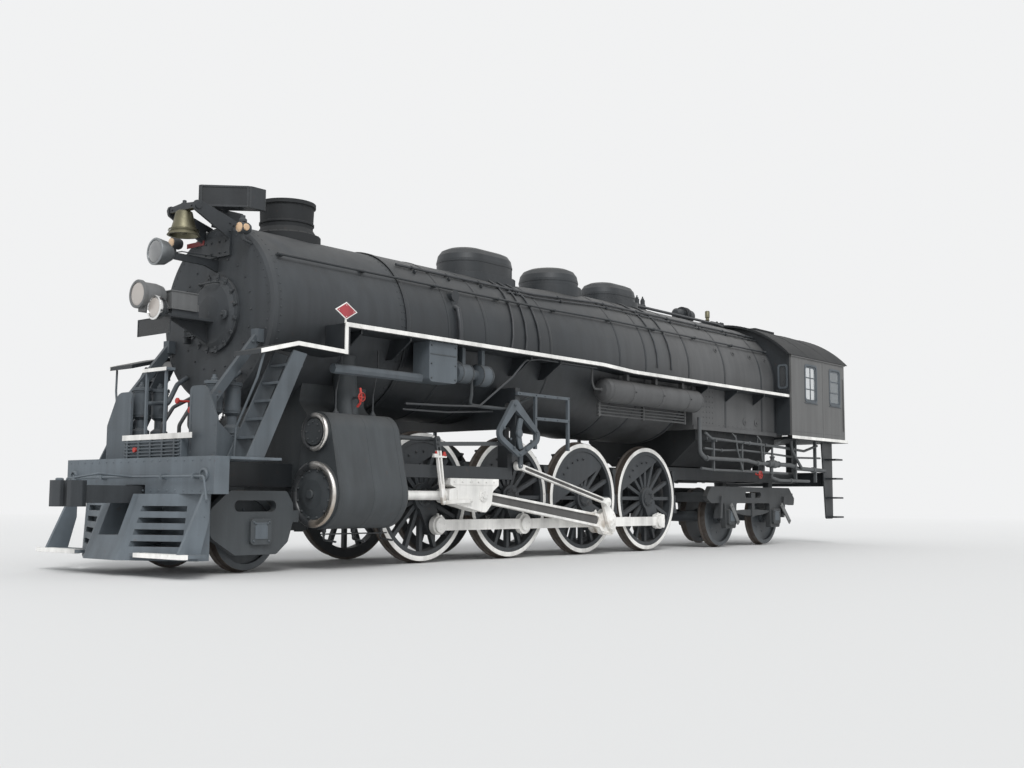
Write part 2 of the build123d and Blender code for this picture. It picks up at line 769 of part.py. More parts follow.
ring_height = 70
ring_proud = 25
with BuildPart() as firebox:
    with BuildSketch(Plane.YZ.offset(backhead_x)):
        with Locations((0, boiler_z)):
            Circle(rear_radius)
        with Locations((0, (boiler_z + grate_z) / 2)):
            Rectangle(2 * rear_radius, boiler_z - grate_z)
    extrude(amount=throat_x - backhead_x)
    box_low = boiler_z - rear_radius - 1
    block(backhead_x - 1, throat_x + 1, -rear_radius, rear_radius, box_low, grate_z, mode=Mode.SUBTRACT)
    ring_half = rear_radius + ring_proud
    block(cab_front_x + 5, throat_x, -ring_half, ring_half, grate_z, grate_z + ring_height)
save(firebox, "firebox")

# Ash pan with two hoppers under it
ash_top = 1180
ash_low = 640
ash_side = 180
ash_back_x = -5900
ash_front_x = -2900
ash_low_z = rear_bar[1] + 20
hopper_length = 1150
hopper_depth = 140
with BuildPart() as ash_pan:
    half_pan = [(ash_top, grate_z), (ash_top, grate_z - ash_side), (ash_low, ash_low_z)]
    plate_yz(half_pan + [(-y, z) for y, z in reversed(half_pan)], ash_back_x, ash_front_x)
    for x in (ash_back_x + 850, ash_front_x - 950):
        with BuildSketch(Plane.XY.offset(ash_low_z)):
            with Locations((x, 0)):
                Rectangle(hopper_length, 2 * bar_in)
        extrude(amount=-hopper_depth, taper=30)
save(ash_pan, "ash_pan")


# Stack and domes
stack_x = 5520
stack_radius = 345
stack_wall = 55
stack_top = rail + 4730
stack_depth = 350
stack_foot = boiler_z + 800
crown = boiler_z + smokebox_radius
with BuildPart() as stack:
    lathe((stack_x, 0, 0), (0, 0, 1), [
        (stack_foot, 0),
        (stack_foot, stack_radius + 110),
        (crown + 30, stack_radius + 105),
        (crown + 60, stack_radius + 45),
        (crown + 130, stack_radius),
        (stack_top - 60, stack_radius + 12),
        (stack_top - 50, stack_radius + 35),
        (stack_top, stack_radius + 35),
        (stack_top, stack_radius - stack_wall),
        (stack_top - stack_depth, stack_radius - stack_wall),
        (stack_top - stack_depth, 0),
    ])
    disc_x(0, boiler_z, smokebox_radius, stack_x - 700, stack_x + 700, mode=Mode.SUBTRACT)
save(stack, "stack")

dome_top = rail + 4700
dome_flange = 55
# Columns: centre x, length, width, boiler radius there
dome_table = [
    (1760, 1350, 860, barrel_radius),
    (-120, 1000, 999, rear_radius),
    (-1860, 1150, 780, rear_radius),
]
# Columns: rise of each stretch of the dome's shoulder, its slope inwards in degrees
dome_shoulder = [(80, 12), (70, 36), (40, 66)]
with BuildPart() as domes:
    for x, length, width, radius in dome_table:
        foot = boiler_z + radius - 320
        shoulder = dome_top - sum(rise for rise, slope in dome_shoulder)
        with BuildSketch(Plane.XY.offset(foot)):
            with Locations((x, 0)):
                SlotOverall(length + 2 * dome_flange, width + 2 * dome_flange)
        extrude(amount=boiler_z + radius - foot + 25)
        with BuildSketch(Plane.XY.offset(foot)):
            with Locations((x, 0)):
                SlotOverall(length, width)
        extrude(amount=shoulder - foot)
        inset = 0
        for rise, slope in dome_shoulder:
            with BuildSketch(Plane.XY.offset(shoulder)):
                with Locations((x, 0)):
                    SlotOverall(length - 2 * inset, width - 2 * inset)
            extrude(amount=rise, taper=slope)
            shoulder += rise
            inset += rise * tan(radians(slope))
    revolve_about_x(barrel_outline, mode=Mode.SUBTRACT)
save(domes, "domes")

# Safety valves, turret, generator and the check valves on the boiler's sides
valve_row_x = -2620
valve_pitch = 190
turret_x = (-5640, -5250)
generator_x = (-4700, -4150)
generator_z = boiler_z + rear_radius + 130
check_x = 3380
check_rise = 560
with BuildPart() as boiler_fittings:
    for i in range(3):
        lathe((valve_row_x - i * valve_pitch, 0, boiler_z + rear_radius - 60), (0, 0, 1), [
            (0, 0),
            (0, 75),
            (100, 75),
            (115, 58),
            (190, 58),
            (215, 44),
            (290, 44),
            (290, 0),
        ])
    block(*turret_x, -180, 180, boiler_z + rear_radius - 60, boiler_z + rear_radius + 90)
    lathe((0, 0, generator_z), (1, 0, 0), [
        (generator_x[0], 0),
        (generator_x[0], 120),
        (generator_x[0] + 240, 150),
        (generator_x[0] + 320, 150),
        (generator_x[0] + 320, 105),
        (generator_x[1] - 30, 105),
        (generator_x[1], 70),
        (generator_x[1], 0),
    ])
    block(generator_x[0] + 100, generator_x[1] - 60, -70, 70, boiler_z + rear_radius - 40, generator_z)
    seat = sqrt(barrel_radius ** 2 - check_rise ** 2)
    check_z = boiler_z + check_rise
    for side in (1, -1):
        bar((check_x, side * (seat - 60), check_z), (check_x, side * (seat + 90), check_z), 80)
        bar((check_x, side * (seat + 40), check_z - 170), (check_x, side * (seat + 40), check_z), 48)
    revolve_about_x(barrel_outline, mode=Mode.SUBTRACT)
    disc_x(0, boiler_z, rear_radius, backhead_x, throat_x + 1, mode=Mode.SUBTRACT)
save(boiler_fittings, "boiler_fittings")


# Dished smokebox door with the headlight shelf and the blank plate under it, hinged on the right.
door_back = smokebox_front_x + door_gap
door_rim = 45
door_dish = 75
lamp_z = rail + 3230
shelf_z = lamp_z - 230
shelf_end = 7400
strap_half = 35
with BuildPart() as smokebox_door:
    dish = [(door_back + door_rim + u, r) for u, r in dished_end(door_radius - 50, door_dish)]
    revolve_about_x([(door_back, 0), (door_back, door_radius), (door_back + door_rim, door_radius)] + dish)
    for z in hinge_z:
        strap = [
            (door_hinge_y, z - strap_half),
            (door_hinge_y, z + strap_half),
            (-door_radius + 200, z + strap_half - 12, 20),
            (-door_radius + 200, z - strap_half + 12, 20),
        ]
        plate_yz(strap, door_back + 10, door_back + door_rim + 25)
        knuckle = (door_hinge_x, door_hinge_y)
        bar((*knuckle, z - strap_half), (*knuckle, z + strap_half), hinge_pin_radius + 20)
        bore = hinge_pin_radius + journal_gap
        bar((*knuckle, z - strap_half - 1), (*knuckle, z + strap_half + 1), bore, mode=Mode.SUBTRACT)
    block(door_back + 80, shelf_end, -150, 110, shelf_z, shelf_z + 30)
    web = [(door_back + 60, shelf_z - 260), (door_back + 60, shelf_z + 1), (7250, shelf_z + 1)]
    plate_xz(web, -70, -40)
    block(shelf_end - 12, shelf_end, -190, 190, shelf_z - 190, shelf_z + 1)
save(smokebox_door, "smokebox_door")

# Headlight in a bullet casing with the round lamp beside and below it, and the box behind
casing_back = 7330
casing_front = 7700
lower_lamp = (190, shelf_z + 60)
with BuildPart() as headlight:
    lathe((0, -20, lamp_z), (1, 0, 0), [
        (casing_back, 0),
        (casing_back + 10, 80),
        (casing_back + 70, 135),
        (casing_back + 150, 152),
        (casing_front - 40, 152),
        (casing_front - 30, 165),
        (casing_front, 165),
        (casing_front, 140),
        (casing_front - 25, 132),
        (casing_front - 40, 0),
    ])
    block(casing_back + 40, casing_front - 60, -90, 50, shelf_z + 30, lamp_z - 100)
    lathe((0, *lower_lamp), (1, 0, 0), [
        (7440, 0),
        (7460, 80),
        (7530, 128),
        (7590, 140),
        (7610, 140),
        (7610, 118),
        (7585, 0),
    ])
    block(7470, 7560, 0, 150, shelf_z + 60, shelf_z + 100)
    block(6930, casing_back - 20, -150, 110, shelf_z + 30, lamp_z - 50)
save(headlight, "headlight")

# Upper lamp and bell stand on the front edge of the smokebox
upper_lamp_z = rail + 3770
upper_lamp_front = 7500
bell_x = 7110
bell_pivot_z = rail + 4370
bell_half = 240
arm_thick = 30
trunnion = 22
with BuildPart() as bell_stand:
    for y in (-bell_half - 45, bell_half + 15):
        arm = [
            (smokebox_front_x - 100, rail + 4150),
            (smokebox_front_x - 100, rail + 4260),
            (bell_x - 50, bell_pivot_z + 60, 40),
            (bell_x + 50, bell_pivot_z + 60, 40),
            (bell_x + 50, bell_pivot_z - 60, 40),
            (smokebox_front_x + 40, rail + 4040, 60),
            (smokebox_front_x, rail + 3990),
        ]
        plate_xz(arm, y, y + arm_thick)
    lathe((0, 0, upper_lamp_z), (1, 0, 0), [
        (upper_lamp_front - 230, 0),
        (upper_lamp_front - 215, 80),
        (upper_lamp_front - 130, 140),
        (upper_lamp_front - 20, 160),
        (upper_lamp_front, 160),
        (upper_lamp_front, 138),
        (upper_lamp_front - 30, 0),
    ])
    lamp_arm = [
        (smokebox_front_x, boiler_z + door_radius + 50),
        (smokebox_front_x, upper_lamp_z + 30),
        (upper_lamp_front - 180, upper_lamp_z + 30),
        (upper_lamp_front - 180, upper_lamp_z - 50, 20),
        (smokebox_front_x + 200, upper_lamp_z - 60, 80),
    ]
    plate_xz(lamp_arm, -20, 20)
    arm_out = bell_half + arm_thick + 15
    block(smokebox_front_x, smokebox_front_x + 40, -arm_out, arm_out, rail + 3830, rail + 4080)
    disc_x(0, boiler_z, smokebox_radius, smokebox_front_x - 600, smokebox_front_x, mode=Mode.SUBTRACT)
    bush = trunnion + journal_gap
    disc_y(bell_x, bell_pivot_z, bush, -arm_out - 5, arm_out + 5, mode=Mode.SUBTRACT)
save(bell_stand, "bell_stand")

bell_mouth = 200
bell_height = 320
with BuildPart() as bell:
    lathe((bell_x, 0, bell_pivot_z - 20), (0, 0, -1), [
        (0, 0),
        (0, 60),
        (30, 100),
        (150, 128),
        (250, 155),
        (bell_height, bell_mouth),
        (bell_height, bell_mouth - 28),
        (170, 100),
        (130, 0),
    ])
    yoke_bar = [
        (-bell_half, bell_pivot_z - 35),
        (-bell_half, bell_pivot_z + 35),
        (0, bell_pivot_z + 55, 200),
        (bell_half, bell_pivot_z + 35),
        (bell_half, bell_pivot_z - 35),
    ]
    plate_yz(yoke_bar, bell_x - 40, bell_x + 40)
    disc_y(bell_x, bell_pivot_z, trunnion, -bell_half - 43, bell_half + 43)
save(bell, "bell")

# Blank number board, two faces in a V
board_nose_x = 6900
board_span = 450
board_deep = 280
board_low = rail + 4440
board_high = rail + 4710
with BuildPart() as number_board:
    for side in (1, -1):
        face = [
            (board_nose_x, 0),
            (board_nose_x - board_span, side * board_span, 30),
            (board_nose_x - board_span - board_deep, side * board_span, 30),
            (board_nose_x - board_deep, 0),
        ]
        plate_xy(face, board_low, board_high)
    foot = [(-150, rail + 4150), (150, rail + 4150), (90, board_low + 1), (-90, board_low + 1)]
    plate_yz(foot, 6300, board_nose_x - board_deep)
    disc_x(0, boiler_z, smokebox_radius, smokebox_front_x - 600, board_nose_x, mode=Mode.SUBTRACT)
save(number_board, "number_board")


# Running boards on brackets, higher in front of the cone than behind it
low_end_x = 7090
board_rear_z = board_z - board_drop
bracket_deep = 260
bracket_inner = 500
# Columns: bracket x, top of the board there
bracket_table = [
    (5500, board_z),
    (4640, board_z),
    (2150, board_z),
    (1450, board_z),
    (-2850, board_rear_z),
    (-3900, board_rear_z),
    (-4950, board_rear_z),
]
with BuildPart() as running_boards:
    for side in (1, -1):
        near, far = mirrored(side, barrel_radius + 12, board_edge)
        block(cone_front_x, board_step_x, near, far, board_z - board_thick, board_z)
        near, far = mirrored(side, rear_radius + 5, board_edge)
        top = [(cone_front_x, board_z), (450, board_z), (-400, board_rear_z), (cab_front_x, board_rear_z)]
        plate_xz(top + [(x, z - board_thick) for x, z in reversed(top)], near, far)
        near, far = mirrored(side, smokebox_radius + 5, board_edge)
        block(board_step_x - 40, board_step_x, near, far, board_low_z + 40, board_z)
        near, far = mirrored(side, 1050, board_edge)
        front = [
            (board_step_x - 40, board_low_z + 50),
            (6560, board_low_z + 80),
            (low_end_x, board_low_z - 60),
        ]
        plate_xz(front + [(x, z - 50) for x, z in reversed(front)], near, far)
        for x, top_z in bracket_table:
            low = top_z - board_thick
            bracket = [
                (side * bracket_inner, low),
                (side * (board_edge - 60), low),
                (side * (board_edge - 60), low - 40),
                (side * (barrel_radius + 10), low - bracket_deep),
                (side * bracket_inner, low - bracket_deep),
            ]
            plate_yz(bracket, x, x + 25)
    revolve_about_x(barrel_outline, mode=Mode.SUBTRACT)
    disc_x(0, boiler_z, smokebox_radius, smokebox_back_x - 1, board_step_x, mode=Mode.SUBTRACT)
    disc_x(0, boiler_z, rear_radius, backhead_x, throat_x + 1, mode=Mode.SUBTRACT)
    block(backhead_x, throat_x + 1, -rear_radius, rear_radius, grate_z, boiler_z, mode=Mode.SUBTRACT)
save(running_boards, "running_boards")


# Front deck with its cooler bar and the step before the smokebox, braces, ladders and shields
shield_in = 600
shield_out = 1125
cooler_top = rail + 1560
deck_back_x = 6750
post_x = (7250, 7330)
cooler_front_x = 7450
step_half = 250
step_top = rail + 2370
with BuildPart() as front_deck:
    block(deck_back_x, beam_x - beam_thick, -board_edge + 20, board_edge - 20, front_bar[1], deck_z)
    cooler = [
        (post_x[0], deck_z),
        (cooler_front_x, deck_z),
        (cooler_front_x, cooler_top, 30),
        (post_x[0] + 30, cooler_top, 60),
    ]
    plate_xz(cooler, -shield_in + 10, shield_in - 10)
    for y in (-step_half + 40, step_half - 70):
        block(cooler_front_x - 50, cooler_front_x - 20, y, y + 30, cooler_top - 10, step_top)
    block(post_x[1], cooler_front_x, -step_half, step_half, step_top - 30, step_top)
save(front_deck, "front_deck")

brace_y = (870, 930)
brace_foot_z = rail + 1980
with BuildPart() as smokebox_braces:
    for side in (1, -1):
        near, far = mirrored(side, *brace_y)
        link_xz((6650, rail + 2760), (post_x[0] + 15, brace_foot_z), 110, near, far)
        near, far = mirrored(side, brace_y[0] - 30, brace_y[1] + 30)
        block(smokebox_front_x - 40, 6700, near, far, rail + 2690, rail + 2850)
        post_top = brace_foot_z + 50
        post = [
            (post_x[0], deck_z),
            (post_x[1], deck_z),
            (post_x[1], post_top, 30),
            (post_x[0], post_top, 30),
        ]
        plate_xz(post, near, far)
    disc_x(0, boiler_z, smokebox_radius, 6400, smokebox_front_x, mode=Mode.SUBTRACT)
save(smokebox_braces, "smokebox_braces")

ladder_y = (1140, 1490)
ladder_plate = 25
tread_count = 5
tread_pitch = 215
ladder_slope = 0.52
with BuildPart() as front_ladders:
    for side in (1, -1):
        outline = [(6400, rail + 2530), (6600, rail + 2560), (7230, deck_z), (6990, deck_z)]
        for y in ladder_y:
            near, far = mirrored(side, y, y + ladder_plate)
            plate_xz(outline, near, far)
        near, far = mirrored(side, ladder_y[0] + ladder_plate - 1, ladder_y[1] + 1)
        for i in range(tread_count):
            rise = 210 + i * tread_pitch
            x = 7110 - rise * ladder_slope
            block(x - 110, x + 110, near, far, deck_z + rise, deck_z + rise + 30)
save(front_ladders, "front_ladders")

shield_x = (post_x[1] + 2, post_x[1] + 30)
wing_back_x = 7100
with BuildPart() as pump_shields:
    for side in (1, -1):
        shield = [
            (side * shield_in, deck_z),
            (side * shield_in, rail + 2130, 60),
            (side * 900, rail + 2130, 160),
            (side * shield_out, rail + 1730, 80),
            (side * shield_out, deck_z),
        ]
        plate_yz(shield, *shield_x)
        near, far = mirrored(side, shield_out - 30, shield_out)
        wing = [
            (wing_back_x, deck_z),
            (shield_x[0] + 1, deck_z),
            (shield_x[0] + 1, rail + 1700),
            (wing_back_x, rail + 1500, 80),
        ]
        plate_xz(wing, near, far)
save(pump_shields, "pump_shields")

# Compound air pumps, steam cylinder over air cylinder, on the deck behind the shields
pump_x = (6870, 7130)
pump_side = 740
with BuildPart() as air_pumps:
    for side in (1, -1):
        for x in pump_x:
            lathe((x, side * pump_side, deck_z), (0, 0, 1), [
                (0, 0),
                (0, 118),
                (35, 118),
                (35, 105),
                (365, 105),
                (400, 60),
                (500, 60),
                (535, 100),
                (860, 100),
                (860, 118),
                (895, 118),
                (920, 0),
            ])
save(air_pumps, "air_pumps")


# Pilot with its beam, slats and footboards
beam_half = 1500
pilot_back_x = 7450
pilot_half = 1180
nose_half = 330
pilot_low = rail + 150
pilot_top = rail + 885
step_plane = (420, 1000)
footboard_z = rail + 200
footboard_x = (7700, 8030)
footboard_y = (500, 1518)
with BuildPart() as pilot:
    block(beam_x - beam_thick, beam_x, -beam_half, beam_half, pilot_top, deck_z)
    # Columns: height, front x, shoulder x
    for z, nose, shoulder in ((pilot_low, 8080, 7600), (pilot_top, 7800, 7560)):
        with BuildSketch(Plane.XY.offset(z)):
            half_plan = [(pilot_back_x, pilot_half), (shoulder, pilot_half), (nose, nose_half)]
            with BuildLine():
                Polyline(*half_plan, *[(x, -y) for x, y in reversed(half_plan)], close=True)
            make_face()
    loft()
    block(pilot_back_x - 10, 8200, -200, 200, rail + 420, rail + 990, mode=Mode.SUBTRACT)
    for z in (rail + 300, rail + 430, rail + 560, rail + 690):
        for side in (1, -1):
            near, far = mirrored(side, *step_plane)
            block(7560, 8100, near, far, z, z + 60, mode=Mode.SUBTRACT)
    for side in (1, -1):
        footboard = [
            (footboard_x[0], side * footboard_y[0]),
            (footboard_x[1], side * footboard_y[0], 30),
            (footboard_x[1], side * footboard_y[1], 60),
            (footboard_x[0], side * footboard_y[1], 60),
        ]
        plate_xy(footboard, footboard_z, footboard_z + 35)
        near, far = mirrored(side, 1330, 1370)
        hanger = [
            (7600, pilot_top + 60),
            (7650, pilot_top + 60),
            (footboard_x[1] - 50, footboard_z + 34),
            (footboard_x[0], footboard_z + 34),
            (7600, rail + 600, 60),
        ]
        plate_xz(hanger, near, far)
save(pilot, "pilot")

# Knuckle coupler in plan: shank, guard arm on the left, knuckle on the right
coupler_tail_x = 7310
coupler_low = rail + 740
coupler_high = rail + 1030
with BuildPart() as front_coupler:
    block(coupler_tail_x, 8350, -130, 130, rail + 780, front_bar[0])
    head = [
        (8340, -130),
        (8340, 130),
        (8430, 200, 30),
        (8590, 200, 30),
        (8590, 150, 20),
        (8480, 100, 30),
        (8450, -20, 30),
        (8530, -60, 15),
        (8540, 20, 20),
        (8600, 20, 25),
        (coupler_face, -50, 40),
        (coupler_face, -130, 40),
        (8560, -200, 40),
        (8430, -190, 40),
    ]
    plate_xy(head, coupler_low, coupler_high)
save(front_coupler, "front_coupler")

drawbar_pin_radius = 55
drawbar_pin_x = 115 - coupler_face
with BuildPart() as rear_drawbar:
    drawbar = [(-coupler_face, -170, 120), (buffer_x, -170), (buffer_x, 170), (-coupler_face, 170, 120)]
    plate_xy(drawbar, rail + 1180, rail + 1380)
    with BuildSketch(Plane.XY.offset(rail + 1170)):
        with Locations((drawbar_pin_x, 0)):
            Circle(drawbar_pin_radius)
    extrude(amount=220, mode=Mode.SUBTRACT)
save(rear_drawbar, "rear_drawbar")


# Air reservoirs hung under the running boards
tank_radius = 195
tank_y = board_edge - 202
tank_z = rail + 2585
tank_dish = 90
strap_width = 70
with BuildPart() as air_reservoirs:
    for side in (1, -1):
        tank_x(side * tank_y, tank_z, tank_radius, throat_x + 30, 230, tank_dish)
        near, far = mirrored(side, tank_y - 40, tank_y + 40)
        for x in (-2200, -1350, -500):
            block(x, x + strap_width, near, far, tank_z + tank_radius - 20, board_rear_z - board_thick)
save(air_reservoirs, "air_reservoirs")

# Feed heater, feed pump and their pipe in front of the guide yoke
pump_y = barrel_radius + 185
heater_x = (3780, 4320)
pump_span = (2960, 3640)
pump_z = rail + 2560
pipe_z = rail + 2425
with BuildPart() as side_equipment:
    for side in (1, -1):
        near, far = mirrored(side, barrel_radius + 55, board_edge - 47)
        heater = [
            (heater_x[0], rail + 2380, 60),
            (heater_x[1], rail + 2380, 60),
            (heater_x[1], board_z - board_thick),
            (heater_x[0], board_z - board_thick),
        ]
        plate_xz(heater, near, far)
        lathe((0, side * pump_y, pump_z), (1, 0, 0), [
            (pump_span[0], 0),
            (pump_span[0], 130),
            (pump_span[0] + 40, 150),
            (pump_span[0] + 240, 150),
            (pump_span[0] + 260, 70),
            (pump_span[1] - 270, 70),
            (pump_span[1] - 250, 135),
            (pump_span[1] - 30, 135),
            (pump_span[1], 90),
            (pump_span[1], 0),
        ])
        near, far = mirrored(side, pump_y - 40, pump_y + 40)
        for x in (pump_span[0] + 110, pump_span[1] - 170):
            block(x, x + 60, near, far, pump_z, board_z - board_thick)
        rail_bar((heater_x[1] - 1, side * pump_y, pipe_z), (board_step_x + 40, side * pump_y, pipe_z), 62)
save(side_equipment, "side_equipment")


# Cab
front_cut = rear_radius + 3
front_window = (1330, 1500)
front_sill = rail + 3080
front_lintel = rail + 3520
window_corner = 45
inner_half = cab_half - wall
with BuildPart() as cab_front:
    with BuildSketch(Plane.YZ.offset(cab_front_x - wall)):
        with BuildLine():
            Polyline((-inner_half, cab_floor_z), (inner_half, cab_floor_z), (inner_half, cab_eave_z))
            ThreePointArc((inner_half, cab_eave_z), (0, cab_top_z - wall), (-inner_half, cab_eave_z))
            Line((-inner_half, cab_eave_z), (-inner_half, cab_floor_z))
        make_face()
        with Locations((0, boiler_z)):
            Circle(front_cut, mode=Mode.SUBTRACT)
        with Locations((0, (boiler_z + cab_floor_z) / 2 - 20)):
            Rectangle(2 * front_cut, boiler_z - cab_floor_z + 40, mode=Mode.SUBTRACT)
    extrude(amount=wall)
    for side in (1, -1):
        y0, y1 = mirrored(side, *front_window)
        corners = [(y0, front_sill), (y1, front_sill), (y1, front_lintel), (y0, front_lintel)]
        window = [(*corner, window_corner) for corner in corners]
        plate_yz(window, cab_front_x - wall - 1, cab_front_x + 1, mode=Mode.SUBTRACT)
save(cab_front, "cab_front")

# Columns: window's rear x, front x, bottom z, top z
window_table = [(-6950, -6470, rail + 2860, rail + 3560), (-8060, -7600, rail + 2860, rail + 3560)]
rear_return = 1050
with BuildPart() as cab_sides:
    for side in (1, -1):
        near, far = mirrored(side, inner_half, cab_half)
        block(cab_back_x, cab_front_x, near, far, cab_floor_z, cab_eave_z)
        for x0, x1, z0, z1 in window_table:
            block(x0, x1, near - 1, far + 1, z0, z1, mode=Mode.SUBTRACT)
        near, far = mirrored(side, inner_half, rear_return)
        block(cab_back_x, cab_back_x + wall, near, far, cab_floor_z, cab_eave_z)
save(cab_sides, "cab_sides")

roof_half = cab_half + 20
hatch_x = (-7500, -6700)
hatch_half = 350
with BuildPart() as cab_roof:
    with BuildSketch(Plane.YZ.offset(cab_back_x - 150)):
        with BuildLine():
            ThreePointArc((-roof_half, cab_eave_z), (0, cab_top_z), (roof_half, cab_eave_z))
            Line((roof_half, cab_eave_z), (inner_half, cab_eave_z))
            ThreePointArc((inner_half, cab_eave_z), (0, cab_top_z - wall), (-inner_half, cab_eave_z))
            Line((-inner_half, cab_eave_z), (-roof_half, cab_eave_z))
        make_face()
    extrude(amount=cab_front_x + 100 - cab_back_x + 150)
    block(*hatch_x, -hatch_half, hatch_half, cab_top_z - wall, cab_top_z + 35)
save(cab_roof, "cab_roof")

seat_in = 1100
seat_out = 1500
seat_x = (-7350, -6650)
with BuildPart() as cab_floor:
    block(cab_back_x - 150, backhead_x - 5, -cab_half, cab_half, cab_floor_z - 60, cab_floor_z)
    for side in (1, -1):
        near, far = mirrored(side, bar_in, bar_out)
        for x in (-8000, -6500):
            block(x, x + 200, near, far, rear_bar[1], cab_floor_z - 60)
        near, far = mirrored(side, seat_in, seat_out)
        block(*seat_x, near, far, cab_floor_z, cab_floor_z + 420)
save(cab_floor, "cab_floor")

# Steps under the rear corners of the cab
cab_step_x = (cab_back_x + 40, cab_back_x + 380)
cab_step_y = (1290, 1550)
with BuildPart() as cab_steps:
    for side in (1, -1):
        near, far = mirrored(side, *cab_step_y)
        hanger = [
            (cab_step_x[0], cab_floor_z - 60),
            (cab_step_x[0], rail + 480, 60),
            (cab_step_x[1], rail + 480, 60),
            (cab_step_x[1] + 160, cab_floor_z - 60),
        ]
        inner_near, inner_far = mirrored(side, cab_step_y[0], cab_step_y[0] + 25)
        plate_xz(hanger, inner_near, inner_far)
        for z in (rail + 500, rail + 900, rail + 1300, rail + 1700):
            block(*cab_step_x, near, far, z, z + 35)
save(cab_steps, "cab_steps")

# Backhead fittings: fire door, throttle lever, gauges on their plate, and the brake stand
fire_door_z = cab_floor_z + 520
gauge_z = boiler_z + 520
gauge_plate = (420, 150)
gauge_corner = 40
with BuildPart() as backhead_fittings:
    fire_door = [(0, 0), (0, 300), (30, 300), (45, 250), (75, 230), (75, 0)]
    lathe((backhead_x, 0, fire_door_z), (-1, 0, 0), fire_door)
    corners = [(-1, -1), (1, -1), (1, 1), (-1, 1)]
    panel = [(y * gauge_plate[0], gauge_z + z * gauge_plate[1], gauge_corner) for y, z in corners]
    plate_yz(panel, backhead_x - 60, backhead_x)
    for y in (-270, 0, 270):
        disc_x(y, gauge_z, 110, backhead_x - 100, backhead_x - 59)
    throttle = [
        (backhead_x, boiler_z + 60),
        (backhead_x - 120, boiler_z + 120, 20),
        (backhead_x - 140, boiler_z - 260, 20),
        (backhead_x, boiler_z - 60),
    ]
    plate_xz(throttle, -640, -600)
    block(backhead_x - 120, backhead_x, 700, 900, boiler_z - 500, boiler_z - 100)
    rail_bar((backhead_x - 90, 800, boiler_z - 110), (backhead_x - 90, 800, boiler_z + 80), 20)
save(backhead_fittings, "backhead_fittings")


# Handrails along the boiler on short stanchions
handrail_z = rail + 3790
handrail_gap = 60
handrail_radius = 17
stanchion_count = 10
handrail_rise = handrail_z - boiler_z
handrail_front_y = sqrt(barrel_radius ** 2 - handrail_rise ** 2) + handrail_gap
handrail_rear_y = sqrt(rear_radius ** 2 - handrail_rise ** 2) + handrail_gap
handrail_x = (6450, cone_front_x, cone_back_x, -5780)
with BuildPart() as handrails:
    for side in (1, -1):
        path = [
            (handrail_x[0], side * handrail_front_y, handrail_z),
            (handrail_x[1], side * handrail_front_y, handrail_z),
            (handrail_x[2], side * handrail_rear_y, handrail_z),
            (handrail_x[3], side * handrail_rear_y, handrail_z),
        ]
        for start, end in zip(path, path[1:]):
            rail_bar(start, end, handrail_radius)
        for i in range(stanchion_count):
            x = handrail_x[0] - 60 - i * (handrail_x[0] - handrail_x[3] - 120) / (stanchion_count - 1)
            y = handrail_front_y if x > cone_front_x else handrail_rear_y
            if cone_back_x < x < cone_front_x:
                share = (cone_front_x - x) / (cone_front_x - cone_back_x)
                y = handrail_front_y + (handrail_rear_y - handrail_front_y) * share
            rail_bar((x, side * (y - 190), handrail_z), (x, side * y, handrail_z), handrail_radius - 3)
    revolve_about_x(barrel_outline, mode=Mode.SUBTRACT)
    disc_x(0, boiler_z, smokebox_radius, smokebox_back_x - 1, smokebox_front_x, mode=Mode.SUBTRACT)
    disc_x(0, boiler_z, rear_radius, backhead_x, throat_x + 1, mode=Mode.SUBTRACT)
save(handrails, "handrails")


